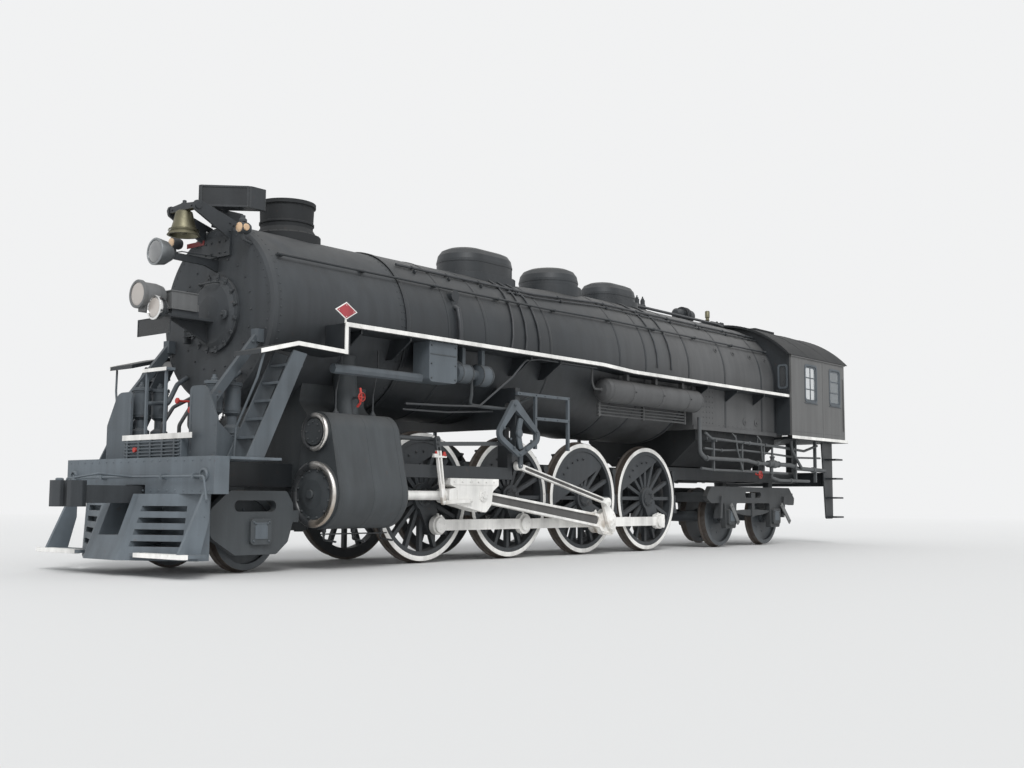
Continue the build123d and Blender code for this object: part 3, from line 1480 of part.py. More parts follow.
# Leading truck, swinging about a pin under the saddle, with slotted outside frames
box_half = 150
lid_out = truck_side_out + 45
slot_z = rail + 752
truck_cross = (rail + 560, rail + 700)
lead_cross_back = (lead_x - 590, lead_x - 500)
lead_cross_front = (lead_x + 500, lead_x + 560)
tongue_z = (rail + 430, rail + 540)
with BuildPart() as lead_truck:
    for side in (1, -1):
        near, far = mirrored(side, truck_side_in, truck_side_out)
        outline = [
            (lead_x - 430, rail + 330, 60),
            (lead_x - 260, rail + 190, 60),
            (lead_x + 330, rail + 190, 90),
            (lead_x + 680, rail + 400, 90),
            (lead_x + 680, rail + 720, 90),
            (lead_x + 420, rail + 930, 90),
            (lead_x - 400, rail + 930, 60),
            (lead_x - 500, rail + 780, 60),
            (lead_x - 500, rail + 560, 60),
        ]
        plate_xz(outline, near, far)
        link_xz((lead_x - 180, slot_z), (lead_x + 290, slot_z), 130, near - 1, far + 1, mode=Mode.SUBTRACT)
        near, far = mirrored(side, truck_side_out, lid_out)
        with BuildSketch(side_plane(lead_x, near, lead_z)):
            RectangleRounded(2 * box_half, 2 * box_half, 50)
        extrude(amount=near - far)
        near, far = mirrored(side, truck_side_in - 1, truck_side_out)
        disc_y(lead_x, lead_z, journal_radius + journal_gap, near, far, mode=Mode.SUBTRACT)
    for x0, x1 in (lead_cross_back, lead_cross_front):
        block(x0, x1, -truck_side_out, truck_side_out, *truck_cross)
        block(x0, x1, -250, 250, rail + 690, rail + 860)
    for side in (1, -1):
        near, far = mirrored(side, truck_side_in, truck_side_out)
        block(lead_cross_back[0], lead_cross_back[1] + 10, near, far, *truck_cross)
    block(lead_cross_back[0], lead_cross_front[1], -250, 250, rail + 720, rail + 900)
    block(lead_x - 130, lead_x + 130, -590, 590, rail + 790, front_bar[0] - seat_gap)
    block(lead_pin_x, lead_cross_back[1], -110, 110, *tongue_z)
    block(*lead_cross_back, -250, 250, tongue_z[0], rail + 570)
    bar((lead_pin_x, 0, tongue_z[0]), (lead_pin_x, 0, tongue_z[1]), truck_pin + 60)
    low = tongue_z[0] - 10
    high = tongue_z[1] + 10
    bar((lead_pin_x, 0, low), (lead_pin_x, 0, high), truck_pin + journal_gap, mode=Mode.SUBTRACT)
save(lead_truck, "lead_truck")


# Trailing truck: outside frames with pedestals, journal box lids, leaf springs and their tilted hangers
truck_top = rail + 1110
pedestal_low = rail + 330
frame_low = rail + 800
middle_x = (trail_x[0] + trail_x[1]) / 2
trail_tongue = (rail + 860, rail + 1000)
trail_cross = (rail + 820, rail + 1000)
spring_low = rail + 560
hanger_width = 70
hanger_lean = 60
with BuildPart() as trailing_truck:
    for side in (1, -1):
        near, far = mirrored(side, truck_side_in, truck_side_out)
        outline = [
            (trail_x[0] + 700, truck_top, 60),
            (trail_x[0] + 880, rail + 900, 40),
            (trail_x[0] + 700, frame_low, 40),
        ]
        for x in trail_x:
            outline += [(x + 230, frame_low, 40), (x + 190, pedestal_low, 50)]
            outline += [(x - 190, pedestal_low, 50), (x - 230, frame_low, 40)]
        outline += [
            (trail_x[1] - 820, rail + 760, 40),
            (trail_x[1] - 850, rail + 900, 40),
            (trail_x[1] - 620, truck_top, 60),
        ]
        plate_xz(outline, near, far)
        slot = [(middle_x - 260, rail + 960), (middle_x + 260, rail + 960)]
        link_xz(*slot, 110, near - 1, far + 1, mode=Mode.SUBTRACT)
        block(middle_x - 50, middle_x + 50, near, far, spring_low - 20, frame_low + 10)
        near, far = mirrored(side, truck_side_in + 20, truck_side_out - 20)
        leaf_spring(middle_x, spring_low, trail_spacing / 2 - 200, near, far)
        near, far = mirrored(side, truck_side_out, lid_out)
        for x in trail_x:
            with BuildSketch(side_plane(x, near, trail_z)):
                RectangleRounded(2 * box_half, 2 * box_half, 50)
            extrude(amount=near - far)
        # Columns: the tilted hangers' height at the top, planes between which they stand
        for top_z, plane in (
            (rail + 930, (truck_side_out, lid_out)),
            (frame_low + 10, (truck_side_in, truck_side_out)),
        ):
            near, far = mirrored(side, *plane)
            for x in (trail_x[0] + 330, trail_x[1] - 380):
                foot_x = x + hanger_lean
                foot = [(foot_x + hanger_width, rail + 520), (foot_x, rail + 520)]
                plate_xz([(x, top_z), (x + hanger_width, top_z)] + foot, near, far)
        near, far = mirrored(side, truck_side_in - 1, truck_side_out)
        for x in trail_x:
            disc_y(x, trail_z, journal_radius + journal_gap, near, far, mode=Mode.SUBTRACT)
        near, far = mirrored(side, bar_in, bar_out)
        block(trail_x[1] - 780, trail_x[1] - 620, near, far, rail + 990, rear_bar[0] - seat_gap)
    for x in (trail_x[0] + 600, middle_x - 80, trail_x[1] - 780):
        block(x, x + 160, -truck_side_out, truck_side_out, *trail_cross)
    block(middle_x, trail_x[0] + 700, -300, 300, *trail_tongue)
    block(trail_x[1] - 700, middle_x, -300, 300, *trail_tongue)
    block(trail_x[0] + 700, trail_pin_x, -200, 200, *trail_tongue)
    bar((trail_pin_x, 0, trail_tongue[0]), (trail_pin_x, 0, trail_tongue[1]), truck_pin + 80)
    low = trail_tongue[0] - 10
    high = trail_tongue[1] + 10
    bar((trail_pin_x, 0, low), (trail_pin_x, 0, high), truck_pin + journal_gap, mode=Mode.SUBTRACT)
save(trailing_truck, "trailing_truck")
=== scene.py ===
import math
import random

import bmesh
import bpy
from mathutils import Matrix, Vector


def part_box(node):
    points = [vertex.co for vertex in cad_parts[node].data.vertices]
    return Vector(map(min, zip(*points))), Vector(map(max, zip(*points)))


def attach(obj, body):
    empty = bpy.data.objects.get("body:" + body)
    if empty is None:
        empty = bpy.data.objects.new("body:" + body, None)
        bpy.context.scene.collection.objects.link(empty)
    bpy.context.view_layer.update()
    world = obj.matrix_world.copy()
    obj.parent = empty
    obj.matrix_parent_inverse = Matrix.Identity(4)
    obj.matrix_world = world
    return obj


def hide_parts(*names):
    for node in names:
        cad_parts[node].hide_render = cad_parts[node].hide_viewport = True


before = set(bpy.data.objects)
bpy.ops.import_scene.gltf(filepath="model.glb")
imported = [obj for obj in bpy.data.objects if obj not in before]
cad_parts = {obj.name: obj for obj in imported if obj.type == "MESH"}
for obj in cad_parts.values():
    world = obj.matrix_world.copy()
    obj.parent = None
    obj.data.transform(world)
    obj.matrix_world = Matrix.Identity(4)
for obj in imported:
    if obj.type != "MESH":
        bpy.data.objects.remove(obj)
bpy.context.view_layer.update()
random.seed(7)

# Metres, in the CAD's frame: X forward, Y left, Z up from the flange tips
RAIL = 0.027
SIDES = (1, -1)

# Camera, fitted to the wheel centres seen in the photograph; the picture is 1024 by 768
CAMERA_PLACE = (15.391, 12.132, 0.867)
CAMERA_YAW = math.radians(50.206)
CAMERA_PITCH = math.radians(5.622)
CAMERA_ROLL = math.radians(0.312)
CAMERA_LENS = 41.37
SENSOR_WIDTH = 36.0


# Helpers


class Shape:
    """Points and faces that grow piece by piece into one mesh."""

    def __init__(self):
        self.points = []
        self.faces = []

    def add(self, points, faces):
        start = len(self.points)
        self.points += [tuple(p) for p in points]
        self.faces += [tuple(start + i for i in face) for face in faces]
        return self

    def box(self, x0, x1, y0, y1, z0, z1):
        """Box between two corners."""
        points = [(x, y, z) for x in (x0, x1) for y in (y0, y1) for z in (z0, z1)]
        faces = [(0, 1, 3, 2), (4, 6, 7, 5), (0, 4, 5, 1), (2, 3, 7, 6), (0, 2, 6, 4), (1, 5, 7, 3)]
        return self.add(points, faces)

    def prism(self, outline, plane, low, high):
        """Flat outline in the plane xy, xz or yz, carried from low to high along the third axis."""
        place = {
            "xy": lambda a, b, c: (a, b, c),
            "xz": lambda a, b, c: (a, c, b),
            "yz": lambda a, b, c: (c, a, b),
        }[plane]
        n = len(outline)
        points = [place(a, b, c) for c in (low, high) for a, b in outline]
        faces = [tuple(range(n)), tuple(range(2 * n - 1, n - 1, -1))]
        faces += [(i, (i + 1) % n, n + (i + 1) % n, n + i) for i in range(n)]
        return self.add(points, faces)

    def lathe(self, profile, centre, axis, sides=32, closed=False):
        """Turned form: profile is (distance along axis, radius) from a centre."""
        axis = Vector(axis).normalized()
        across = axis.orthogonal().normalized()
        third = axis.cross(across)
        centre = Vector(centre)
        points = []
        faces = []
        rings = []
        for along, radius in profile:
            if radius < 1e-6:
                rings.append([len(points)])
                points.append(centre + axis * along)
                continue
            rings.append(list(range(len(points), len(points) + sides)))
            for i in range(sides):
                t = 2 * math.pi * i / sides
                points.append(centre + axis * along + (across * math.cos(t) + third * math.sin(t)) * radius)
        pairs = list(zip(rings, rings[1:]))
        if closed:
            pairs.append((rings[-1], rings[0]))
        for a, b in pairs:
            for i in range(sides):
                j = (i + 1) % sides
                if len(a) > 1 and len(b) > 1:
                    faces.append((a[i], a[j], b[j], b[i]))
                elif len(a) > 1:
                    faces.append((a[i], a[j], b[0]))
                elif len(b) > 1:
                    faces.append((a[0], b[j], b[i]))
        if not closed:
            if len(rings[0]) > 1:
                faces.append(tuple(rings[0]))
            if len(rings[-1]) > 1:
                faces.append(tuple(reversed(rings[-1])))
        return self.add(points, faces)

    def tube(self, path, radius, sides=10, bend=0.0):
        """Pipe along a path, its corners rounded to the bend radius."""
        path = rounded(path, bend) if bend else [Vector(p) for p in path]
        points = []
        faces = []
        n = len(path)
        across = None
        for k, p in enumerate(path):
            ahead = (path[min(k + 1, n - 1)] - path[max(k - 1, 0)]).normalized()
            if across is None:
                across = ahead.orthogonal().normalized()
            across = (across - ahead * across.dot(ahead)).normalized()
            third = ahead.cross(across)
            for i in range(sides):
                t = 2 * math.pi * i / sides
                points.append(p + (across * math.cos(t) + third * math.sin(t)) * radius)
        for k in range(n - 1):
            for i in range(sides):
                j = (i + 1) % sides
                faces.append((k * sides + i, k * sides + j, (k + 1) * sides + j, (k + 1) * sides + i))
        faces.append(tuple(range(sides)))
        faces.append(tuple(range(n * sides - 1, (n - 1) * sides - 1, -1)))
        return self.add(points, faces)

    def bolt(self, place, axis, size):
        """Hexagon nut with the round end of its stud."""
        self.lathe([(0, size), (size * 0.8, size), (size * 0.95, size * 0.86)], place, axis, 6)
        return self.lathe([(size * 0.9, size * 0.5), (size * 1.35, size * 0.45), (size * 1.5, size * 0.2)], place, axis, 8)

    def rivet(self, place, axis, size):
        """Low round head."""
        return self.lathe([(0, size), (size * 0.35, size * 0.85), (size * 0.6, 0)], place, axis, 8)

    def ring_of(self, part, count, centre, axis, radius, size, start=0.0):
        """A circle of bolts or rivets around a centre."""
        axis = Vector(axis).normalized()
        across = axis.orthogonal().normalized()
        third = axis.cross(across)
        for i in range(count):
            t = 2 * math.pi * i / count + start
            place = Vector(centre) + (across * math.cos(t) + third * math.sin(t)) * radius
            part(self, place, axis, size)
        return self

    def both_sides(self):
        """Adds the mirror image across the centre line."""
        points = [(x, -y, z) for x, y, z in self.points]
        faces = [tuple(reversed(face)) for face in self.faces]
        return self.add(points, faces)


def rounded(path, bend, steps=6):
    """Path with its corners replaced by arcs of points."""
    path = [Vector(p) for p in path]
    out = [path[0]]
    for before, corner, after in zip(path, path[1:], path[2:]):
        a = (before - corner)
        b = (after - corner)
        turn = a.angle(b)
        if turn > math.radians(178):
            out.append(corner)
            continue
        reach = min(bend / math.tan(turn / 2), a.length * 0.45, b.length * 0.45)
        start = corner + a.normalized() * reach
        end = corner + b.normalized() * reach
        for i in range(steps + 1):
            t = i / steps
            out.append(start * (1 - t) ** 2 + corner * 2 * t * (1 - t) + end * t ** 2)
    out.append(path[-1])
    return out


def make(name, shape, body, material, bevel=0.0, replaces=(), smooth=40):
    """Turns a shape into a piece that rides on a body."""
    mesh = bpy.data.meshes.new(name)
    mesh.from_pydata(shape.points, [], shape.faces)
    bm = bmesh.new()
    bm.from_mesh(mesh)
    bmesh.ops.recalc_face_normals(bm, faces=bm.faces)
    bm.to_mesh(mesh)
    bm.free()
    mesh.polygons.foreach_set("use_smooth", [True] * len(mesh.polygons))
    mesh.set_sharp_from_angle(angle=math.radians(smooth))
    mesh.materials.append(material)
    piece = bpy.data.objects.new(name, mesh)
    bpy.context.scene.collection.objects.link(piece)
    if bevel:
        edge = piece.modifiers.new("edges", "BEVEL")
        edge.width = bevel
        edge.segments = 2
        edge.limit_method = "ANGLE"
        edge.angle_limit = math.radians(45)
        edge.harden_normals = False
    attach(piece, body)
    if replaces:
        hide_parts(*replaces)
    return piece


# Materials


class Paint:
    """Node tree of one material, written as short calls."""

    def __init__(self, name="", material=None):
        self.material = material or bpy.data.materials.new(name)
        self.material.use_nodes = True
        self.nodes = self.material.node_tree.nodes
        self.links = self.material.node_tree.links
        self.shader = self.nodes["Principled BSDF"]
        self.place = self.nodes.new("ShaderNodeTexCoord").outputs["Object"]

    def put(self, socket, value):
        if hasattr(value, "is_linked"):
            self.links.new(value, socket)
        else:
            socket.default_value = value

    def math(self, operation, a, b=0.0, clamp=False):
        node = self.nodes.new("ShaderNodeMath")
        node.operation = operation
        node.use_clamp = clamp
        self.put(node.inputs[0], a)
        self.put(node.inputs[1], b)
        return node.outputs[0]

    def noise(self, scale, detail=4.0, stretch=(1, 1, 1), rough=0.55):
        mapping = self.nodes.new("ShaderNodeMapping")
        mapping.inputs["Scale"].default_value = stretch
        self.put(mapping.inputs["Vector"], self.place)
        node = self.nodes.new("ShaderNodeTexNoise")
        self.put(node.inputs["Vector"], mapping.outputs[0])
        node.inputs["Scale"].default_value = scale
        node.inputs["Detail"].default_value = detail
        node.inputs["Roughness"].default_value = rough
        return node.outputs["Fac"]

    def span(self, value, low, high, to_low=0.0, to_high=1.0):
        node = self.nodes.new("ShaderNodeMapRange")
        node.clamp = True
        self.put(node.inputs["Value"], value)
        for key, number in (("From Min", low), ("From Max", high), ("To Min", to_low), ("To Max", to_high)):
            node.inputs[key].default_value = number
        return node.outputs[0]

    def mix(self, share, a, b, blend="MIX"):
        node = self.nodes.new("ShaderNodeMix")
        node.data_type = "RGBA"
        node.blend_type = blend
        self.put(node.inputs["Factor"], share)
        for key, value in (("A", a), ("B", b)):
            socket = [s for s in node.inputs if s.name == key and s.type == "RGBA"][0]
            self.put(socket, value if hasattr(value, "is_linked") else (*value, 1.0))
        return [s for s in node.outputs if s.type == "RGBA"][0]

    def axes(self):
        """Place along X, Y and Z, in metres."""
        split = self.nodes.new("ShaderNodeSeparateXYZ")
        self.links.new(self.place, split.inputs[0])
        return [split.outputs[key] for key in "XYZ"]

    def away(self, x, z):
        """Distance from an axis that runs across the engine."""
        along, _, up = self.axes()
        dx = self.math("SUBTRACT", along, x)
        dz = self.math("SUBTRACT", up, z)
        return self.math("SQRT", self.math("ADD", self.math("MULTIPLY", dx, dx), self.math("MULTIPLY", dz, dz)))

    def recolor(self, share, color):
        """Mixes a colour over the base colour."""
        before = self.shader.inputs["Base Color"].links[0].from_socket
        self.put(self.shader.inputs["Base Color"], self.mix(share, before, color))

    def facing_up(self):
        node = self.nodes.new("ShaderNodeNewGeometry")
        split = self.nodes.new("ShaderNodeSeparateXYZ")
        self.links.new(node.outputs["Normal"], split.inputs[0])
        return split.outputs["Z"]

    def edges(self, radius):
        """Soft rounded normal, and how far it turns from the flat one."""
        bevel = self.nodes.new("ShaderNodeBevel")
        bevel.samples = 4
        bevel.inputs["Radius"].default_value = radius
        geometry = self.nodes.new("ShaderNodeNewGeometry")
        dot = self.nodes.new("ShaderNodeVectorMath")
        dot.operation = "DOT_PRODUCT"
        self.links.new(bevel.outputs[0], dot.inputs[0])
        self.links.new(geometry.outputs["Normal"], dot.inputs[1])
        return bevel.outputs[0], self.math("SUBTRACT", 1.0, dot.outputs["Value"])

    def bump(self, height, distance, normal=None):
        node = self.nodes.new("ShaderNodeBump")
        node.inputs["Distance"].default_value = distance
        self.put(node.inputs["Height"], height)
        if normal is not None:
            self.put(node.inputs["Normal"], normal)
        self.links.new(node.outputs[0], self.shader.inputs["Normal"])


def painted(name, color, rough=0.5, worn=(0.20, 0.20, 0.19), dust=0.35, wear=0.5, rust=0.15, metal=0.0, coat=0.0):
    """Old paint on iron: uneven tone, rain streaks, dust on what faces up, worn edges, spots of rust.

    The colour is a triple, or a call that makes one from the node tree.
    """
    p = Paint(name)
    normal, edge = p.edges(0.006)
    patch = p.noise(1.3, 6)
    grain = p.noise(38, 3)
    streak = p.noise(7, 4, (1, 1, 0.07))
    tone = p.math("ADD", p.span(patch, 0.3, 0.7, 0.78, 1.18), p.span(streak, 0.35, 0.7, -0.10, 0.14))
    tinted = p.mix(1.0, color(p) if callable(color) else color, (1, 1, 1), "MULTIPLY")
    shade = p.nodes.new("ShaderNodeVectorMath")
    shade.operation = "SCALE"
    p.links.new(tinted, shade.inputs[0])
    p.links.new(tone, shade.inputs["Scale"])
    base = shade.outputs[0]
    up = p.math("MULTIPLY", p.span(p.facing_up(), 0.25, 1.0), p.span(p.noise(3.2, 6), 0.22, 0.80, 0.15), True)
    base = p.mix(p.math("MULTIPLY", up, dust), base, (0.215, 0.205, 0.190))
    spots = p.span(p.noise(9, 8), 0.66, 0.74)
    base = p.mix(p.math("MULTIPLY", spots, rust), base, (0.105, 0.048, 0.026))
    rubbed = p.math("MULTIPLY", p.span(edge, 0.02, 0.22), p.span(p.noise(16, 5), 0.42, 0.62), True)
    base = p.mix(p.math("MULTIPLY", rubbed, wear), base, worn)
    p.put(p.shader.inputs["Base Color"], base)
    p.put(p.shader.inputs["Roughness"], p.math("ADD", p.span(patch, 0.3, 0.7, rough - 0.10, rough + 0.12), p.math("MULTIPLY", up, 0.2), True))
    p.shader.inputs["Metallic"].default_value = metal
    p.shader.inputs["Coat Weight"].default_value = coat
    relief = p.math("ADD", p.math("MULTIPLY", grain, 0.35), p.noise(4.5, 3))
    p.bump(relief, 0.0025, normal)
    return p.material


def bare_metal(name, color, rough=0.3, stain=(0.12, 0.09, 0.07), stained=0.4):
    """Machined metal: fine turning lines, stains and handling marks."""
    p = Paint(name)
    normal, edge = p.edges(0.003)
    lines = p.noise(220, 2, (1, 1, 0.15))
    patch = p.noise(6, 6)
    base = p.mix(p.span(lines, 0.3, 0.7, 0.0, 0.25), color, tuple(0.72 * c for c in color))
    base = p.mix(p.math("MULTIPLY", p.span(patch, 0.5, 0.72), stained), base, stain)
    p.put(p.shader.inputs["Base Color"], base)
    p.shader.inputs["Metallic"].default_value = 1.0
    p.put(p.shader.inputs["Roughness"], p.span(patch, 0.3, 0.75, rough - 0.08, rough + 0.22))
    p.bump(lines, 0.0004, normal)
    return p.material


def clear_glass(name, tint, alpha, dusty=0.25):
    """Window or lens glass with a little dust."""
    p = Paint(name)
    haze = p.span(p.noise(4, 3), 0.35, 0.75, 0.0, dusty)
    p.put(p.shader.inputs["Base Color"], p.mix(haze, tint, (0.60, 0.60, 0.57)))
    p.put(p.shader.inputs["Roughness"], p.span(p.noise(30, 3), 0.3, 0.7, 0.04, 0.16))
    p.shader.inputs["Transmission Weight"].default_value = 0.0
    p.shader.inputs["Alpha"].default_value = alpha
    p.shader.inputs["Coat Weight"].default_value = 1.0
    return p.material


BLACK_COLOR = (0.026, 0.030, 0.034)
# Lighter grey standing for daylight falling from behind: painted light on the firebox, reservoirs and the rear of the
# boiler
REAR_LIT_COLOR = (0.078, 0.080, 0.082)
BLACK = painted("black_paint", BLACK_COLOR, 0.48)
# Boiler barrel: black toward the front, turning to the lighter grey of painted light toward the rear
BARREL = painted("barrel_paint", lambda p: p.mix(p.span(p.axes()[0], -3.0, 1.2), REAR_LIT_COLOR, BLACK_COLOR), 0.48)
GRAPHITE = painted("graphite_paint", (0.040, 0.045, 0.050), 0.62, dust=0.3)
SLATE = painted("slate_paint", (0.088, 0.104, 0.118), 0.6, worn=(0.24, 0.24, 0.23), rust=0.3)
# Cab sides and their trim: the black paint made a lighter grey as painted light, for daylight falling on them from
# behind
CAB_LIT_GREY = painted("cab_paint", (0.110, 0.111, 0.110), 0.5)
FIREBOX_LIT_GREY = painted("casing_lit_paint", REAR_LIT_COLOR, 0.5)
CASTING = painted("casting_paint", (0.051, 0.058, 0.063), 0.55)
TRUCK_GREY = painted("truck_paint", (0.050, 0.054, 0.057), 0.65, dust=0.4)
HANGER_GREY = painted("hanger_paint", (0.16, 0.165, 0.165), 0.6)
DARK_RED = painted("dark_red_paint", (0.16, 0.022, 0.022), 0.55)
SIGN_RED = painted("sign_red_paint", (0.36, 0.050, 0.060), 0.5)
# A lighter copy of the slate paint, as painted light on the pilot, front deck and beam
DECK_LIT_SLATE = painted("deck_paint", (0.122, 0.145, 0.165), 0.6, worn=(0.26, 0.26, 0.25), rust=0.3)
BOARD_BLACK = painted("board_paint", (0.018, 0.021, 0.024), 0.30, dust=0.2, wear=0.2, rust=0.05)
SOOT = painted("sooty_iron", (0.018, 0.020, 0.022), 0.8, dust=0.22, wear=0.3, rust=0.2)
WHITE = painted("white_paint", (0.86, 0.85, 0.82), 0.45, worn=(0.42, 0.38, 0.33), dust=0.25, wear=0.35, rust=0.35)
RED = painted("red_paint", (0.50, 0.045, 0.035), 0.45)
BRONZE = bare_metal("bell_bronze", (0.20, 0.188, 0.130), 0.48, (0.11, 0.105, 0.08), 0.7)
STEEL = bare_metal("bright_steel", (0.62, 0.61, 0.59), 0.26)
LAMP_GREY = painted("lamp_paint", (0.140, 0.144, 0.146), 0.5, worn=(0.3, 0.3, 0.3))
PIPE = painted("pipe_paint", (0.042, 0.046, 0.051), 0.45)
PIPE_GREY = painted("pipe_grey", (0.078, 0.084, 0.088), 0.5)
LAMP_GLASS = clear_glass("lamp_glass", (0.62, 0.565, 0.52), 0.72)
WINDOW_GLASS = clear_glass("window_glass", (0.34, 0.38, 0.40), 0.35, 0.12)
MARKER_GLASS = clear_glass("marker_glass", (0.78, 0.52, 0.30), 0.80)
SILVER = painted("silver_paint", (0.26, 0.275, 0.285), 0.38, worn=(0.20, 0.20, 0.20), metal=0.6, rust=0.1)
UPPER_GLASS = clear_glass("upper_lamp_glass", (0.20, 0.205, 0.21), 0.80)
DARK_GLASS = clear_glass("cab_front_glass", (0.040, 0.044, 0.048), 0.94, 0.05)
REFLECTOR = bare_metal("lamp_reflector", (0.86, 0.86, 0.85), 0.12, (0.5, 0.48, 0.44), 0.3)


def boards(name, color, width, axis):
    """Planks of the given width, laid across the named axis."""
    p = Paint(name)
    along = p.axes()["XYZ".index(axis)]
    row = p.math("FLOOR", p.math("DIVIDE", along, width))
    gap = p.math("PINGPONG", along, width / 2)
    grain = p.noise(14, 6, (1, 8, 8) if axis != "X" else (8, 1, 8))
    tone = p.math("FRACT", p.math("MULTIPLY", row, 0.377))
    base = p.mix(p.span(grain, 0.3, 0.7), color, tuple(0.55 * c for c in color))
    base = p.mix(p.math("MULTIPLY", tone, 0.35), base, (0.10, 0.08, 0.06))
    groove = p.span(gap, 0.0, 0.006)
    base = p.mix(groove, (0.012, 0.010, 0.008), base)
    p.put(p.shader.inputs["Base Color"], base)
    p.put(p.shader.inputs["Roughness"], p.span(grain, 0.3, 0.7, 0.55, 0.8))
    p.bump(p.math("ADD", groove, p.math("MULTIPLY", grain, 0.2)), 0.004)
    return p.material


WOOD = boards("floor_boards", (0.21, 0.15, 0.10), 0.14, "Y")
under = Paint(material=WOOD)
under.recolor(under.span(under.axes()[2], RAIL + 2.124, RAIL + 2.126, 1.0, 0.0), (0.032, 0.036, 0.040))


def wheel_paint(name, centre, tread, color):
    """Painted wheel with a rolling surface of rubbed steel."""
    material = painted(name, color, 0.55, dust=0.3, wear=0.4, rust=0.25)
    p = Paint(material=material)
    rolled = p.mix(p.span(p.noise(12, 5), 0.35, 0.65), (0.085, 0.075, 0.066), (0.060, 0.044, 0.034))
    p.recolor(p.span(p.away(centre.x, centre.z), tread - 0.004, tread - 0.002), rolled)
    return material


# Stage

FLOOR_SIZE = 240.0
FLOOR_FADE = (16.0, 55.0)
WORLD_LIGHT = 0.80
SUN_LIGHT = 1.50
BACKDROP = (0.88, 0.885, 0.89)


def looked_at(nodes, links):
    """One for rays from the camera, from reflections and through glass, else nought."""
    path = nodes.new("ShaderNodeLightPath")
    either = nodes.new("ShaderNodeMath")
    either.operation = "MAXIMUM"
    links.new(path.outputs["Is Camera Ray"], either.inputs[0])
    links.new(path.outputs["Is Glossy Ray"], either.inputs[1])
    any_of = nodes.new("ShaderNodeMath")
    any_of.operation = "MAXIMUM"
    links.new(either.outputs[0], any_of.inputs[0])
    links.new(path.outputs["Is Transmission Ray"], any_of.inputs[1])
    return any_of.outputs[0]


def plain_stage():
    """Pale floor, pale surround and soft studio light."""
    mesh = bpy.data.meshes.new("floor")
    h = FLOOR_SIZE / 2
    mesh.from_pydata([(-h, -h, 0), (h, -h, 0), (h, h, 0), (-h, h, 0)], [], [(0, 1, 2, 3)])
    material = bpy.data.materials.new("floor")
    material.use_nodes = True
    shader = material.node_tree.nodes["Principled BSDF"]
    shader.inputs["Base Color"].default_value = (0.72, 0.72, 0.715, 1)
    shader.inputs["Roughness"].default_value = 0.9
    # Far from the engine the floor turns into the surround
    floor_nodes, floor_links = material.node_tree.nodes, material.node_tree.links
    p = Paint(material=material)
    seen_ray = looked_at(floor_nodes, floor_links)
    reach = p.nodes.new("ShaderNodeVectorMath")
    reach.operation = "LENGTH"
    floor_links.new(p.place, reach.inputs[0])
    far = p.math("MULTIPLY", p.span(reach.outputs["Value"], *FLOOR_FADE), seen_ray)
    glow = p.nodes.new("ShaderNodeEmission")
    glow.inputs["Color"].default_value = (*BACKDROP, 1)
    fade = p.nodes.new("ShaderNodeMixShader")
    floor_links.new(far, fade.inputs[0])
    floor_links.new(shader.outputs[0], fade.inputs[1])
    floor_links.new(glow.outputs[0], fade.inputs[2])
    floor_links.new(fade.outputs[0], p.nodes["Material Output"].inputs["Surface"])
    mesh.materials.append(material)
    floor = bpy.data.objects.new("floor", mesh)
    bpy.context.scene.collection.objects.link(floor)

    world = bpy.data.worlds.new("studio")
    bpy.context.scene.world = world
    world.use_nodes = True
    nodes, links = world.node_tree.nodes, world.node_tree.links
    nodes.clear()
    seen = nodes.new("ShaderNodeBackground")
    seen.inputs["Color"].default_value = (*BACKDROP, 1)
    seen.inputs["Strength"].default_value = 1.0
    light = nodes.new("ShaderNodeBackground")
    light.inputs["Color"].default_value = (0.97, 0.985, 1.0, 1)
    light.inputs["Strength"].default_value = WORLD_LIGHT
    choose = nodes.new("ShaderNodeMixShader")
    out = nodes.new("ShaderNodeOutputWorld")
    links.new(looked_at(nodes, links), choose.inputs[0])
    links.new(light.outputs[0], choose.inputs[1])
    links.new(seen.outputs[0], choose.inputs[2])
    links.new(choose.outputs[0], out.inputs[0])

    sun = bpy.data.lights.new("soft_sun", "SUN")
    sun.energy = SUN_LIGHT
    sun.angle = math.radians(25)
    lamp = bpy.data.objects.new("soft_sun", sun)
    lamp.rotation_euler = Vector((-0.75, -0.95, -1.15)).to_track_quat("-Z", "Y").to_euler()
    bpy.context.scene.collection.objects.link(lamp)


def make_camera():
    """Camera at the photograph's place, level and angle."""
    data = bpy.data.cameras.new("camera")
    data.sensor_width = SENSOR_WIDTH
    data.lens = CAMERA_LENS
    data.clip_end = 300.0
    camera = bpy.data.objects.new("camera", data)
    bpy.context.scene.collection.objects.link(camera)
    forward = Vector((
        -math.sin(CAMERA_YAW) * math.cos(CAMERA_PITCH),
        -math.cos(CAMERA_YAW) * math.cos(CAMERA_PITCH),
        math.sin(CAMERA_PITCH),
    ))
    right = Vector((-math.cos(CAMERA_YAW), math.sin(CAMERA_YAW), 0))
    above = right.cross(forward)
    turned_right = right * math.cos(CAMERA_ROLL) + above * math.sin(CAMERA_ROLL)
    turned_up = above * math.cos(CAMERA_ROLL) - right * math.sin(CAMERA_ROLL)
    basis = Matrix((turned_right, turned_up, -forward)).transposed()
    camera.matrix_world = Matrix.Translation(CAMERA_PLACE) @ basis.to_4x4()
    bpy.context.scene.camera = camera


make_camera()
plain_stage()
bpy.context.scene.view_settings.view_transform = "Standard"

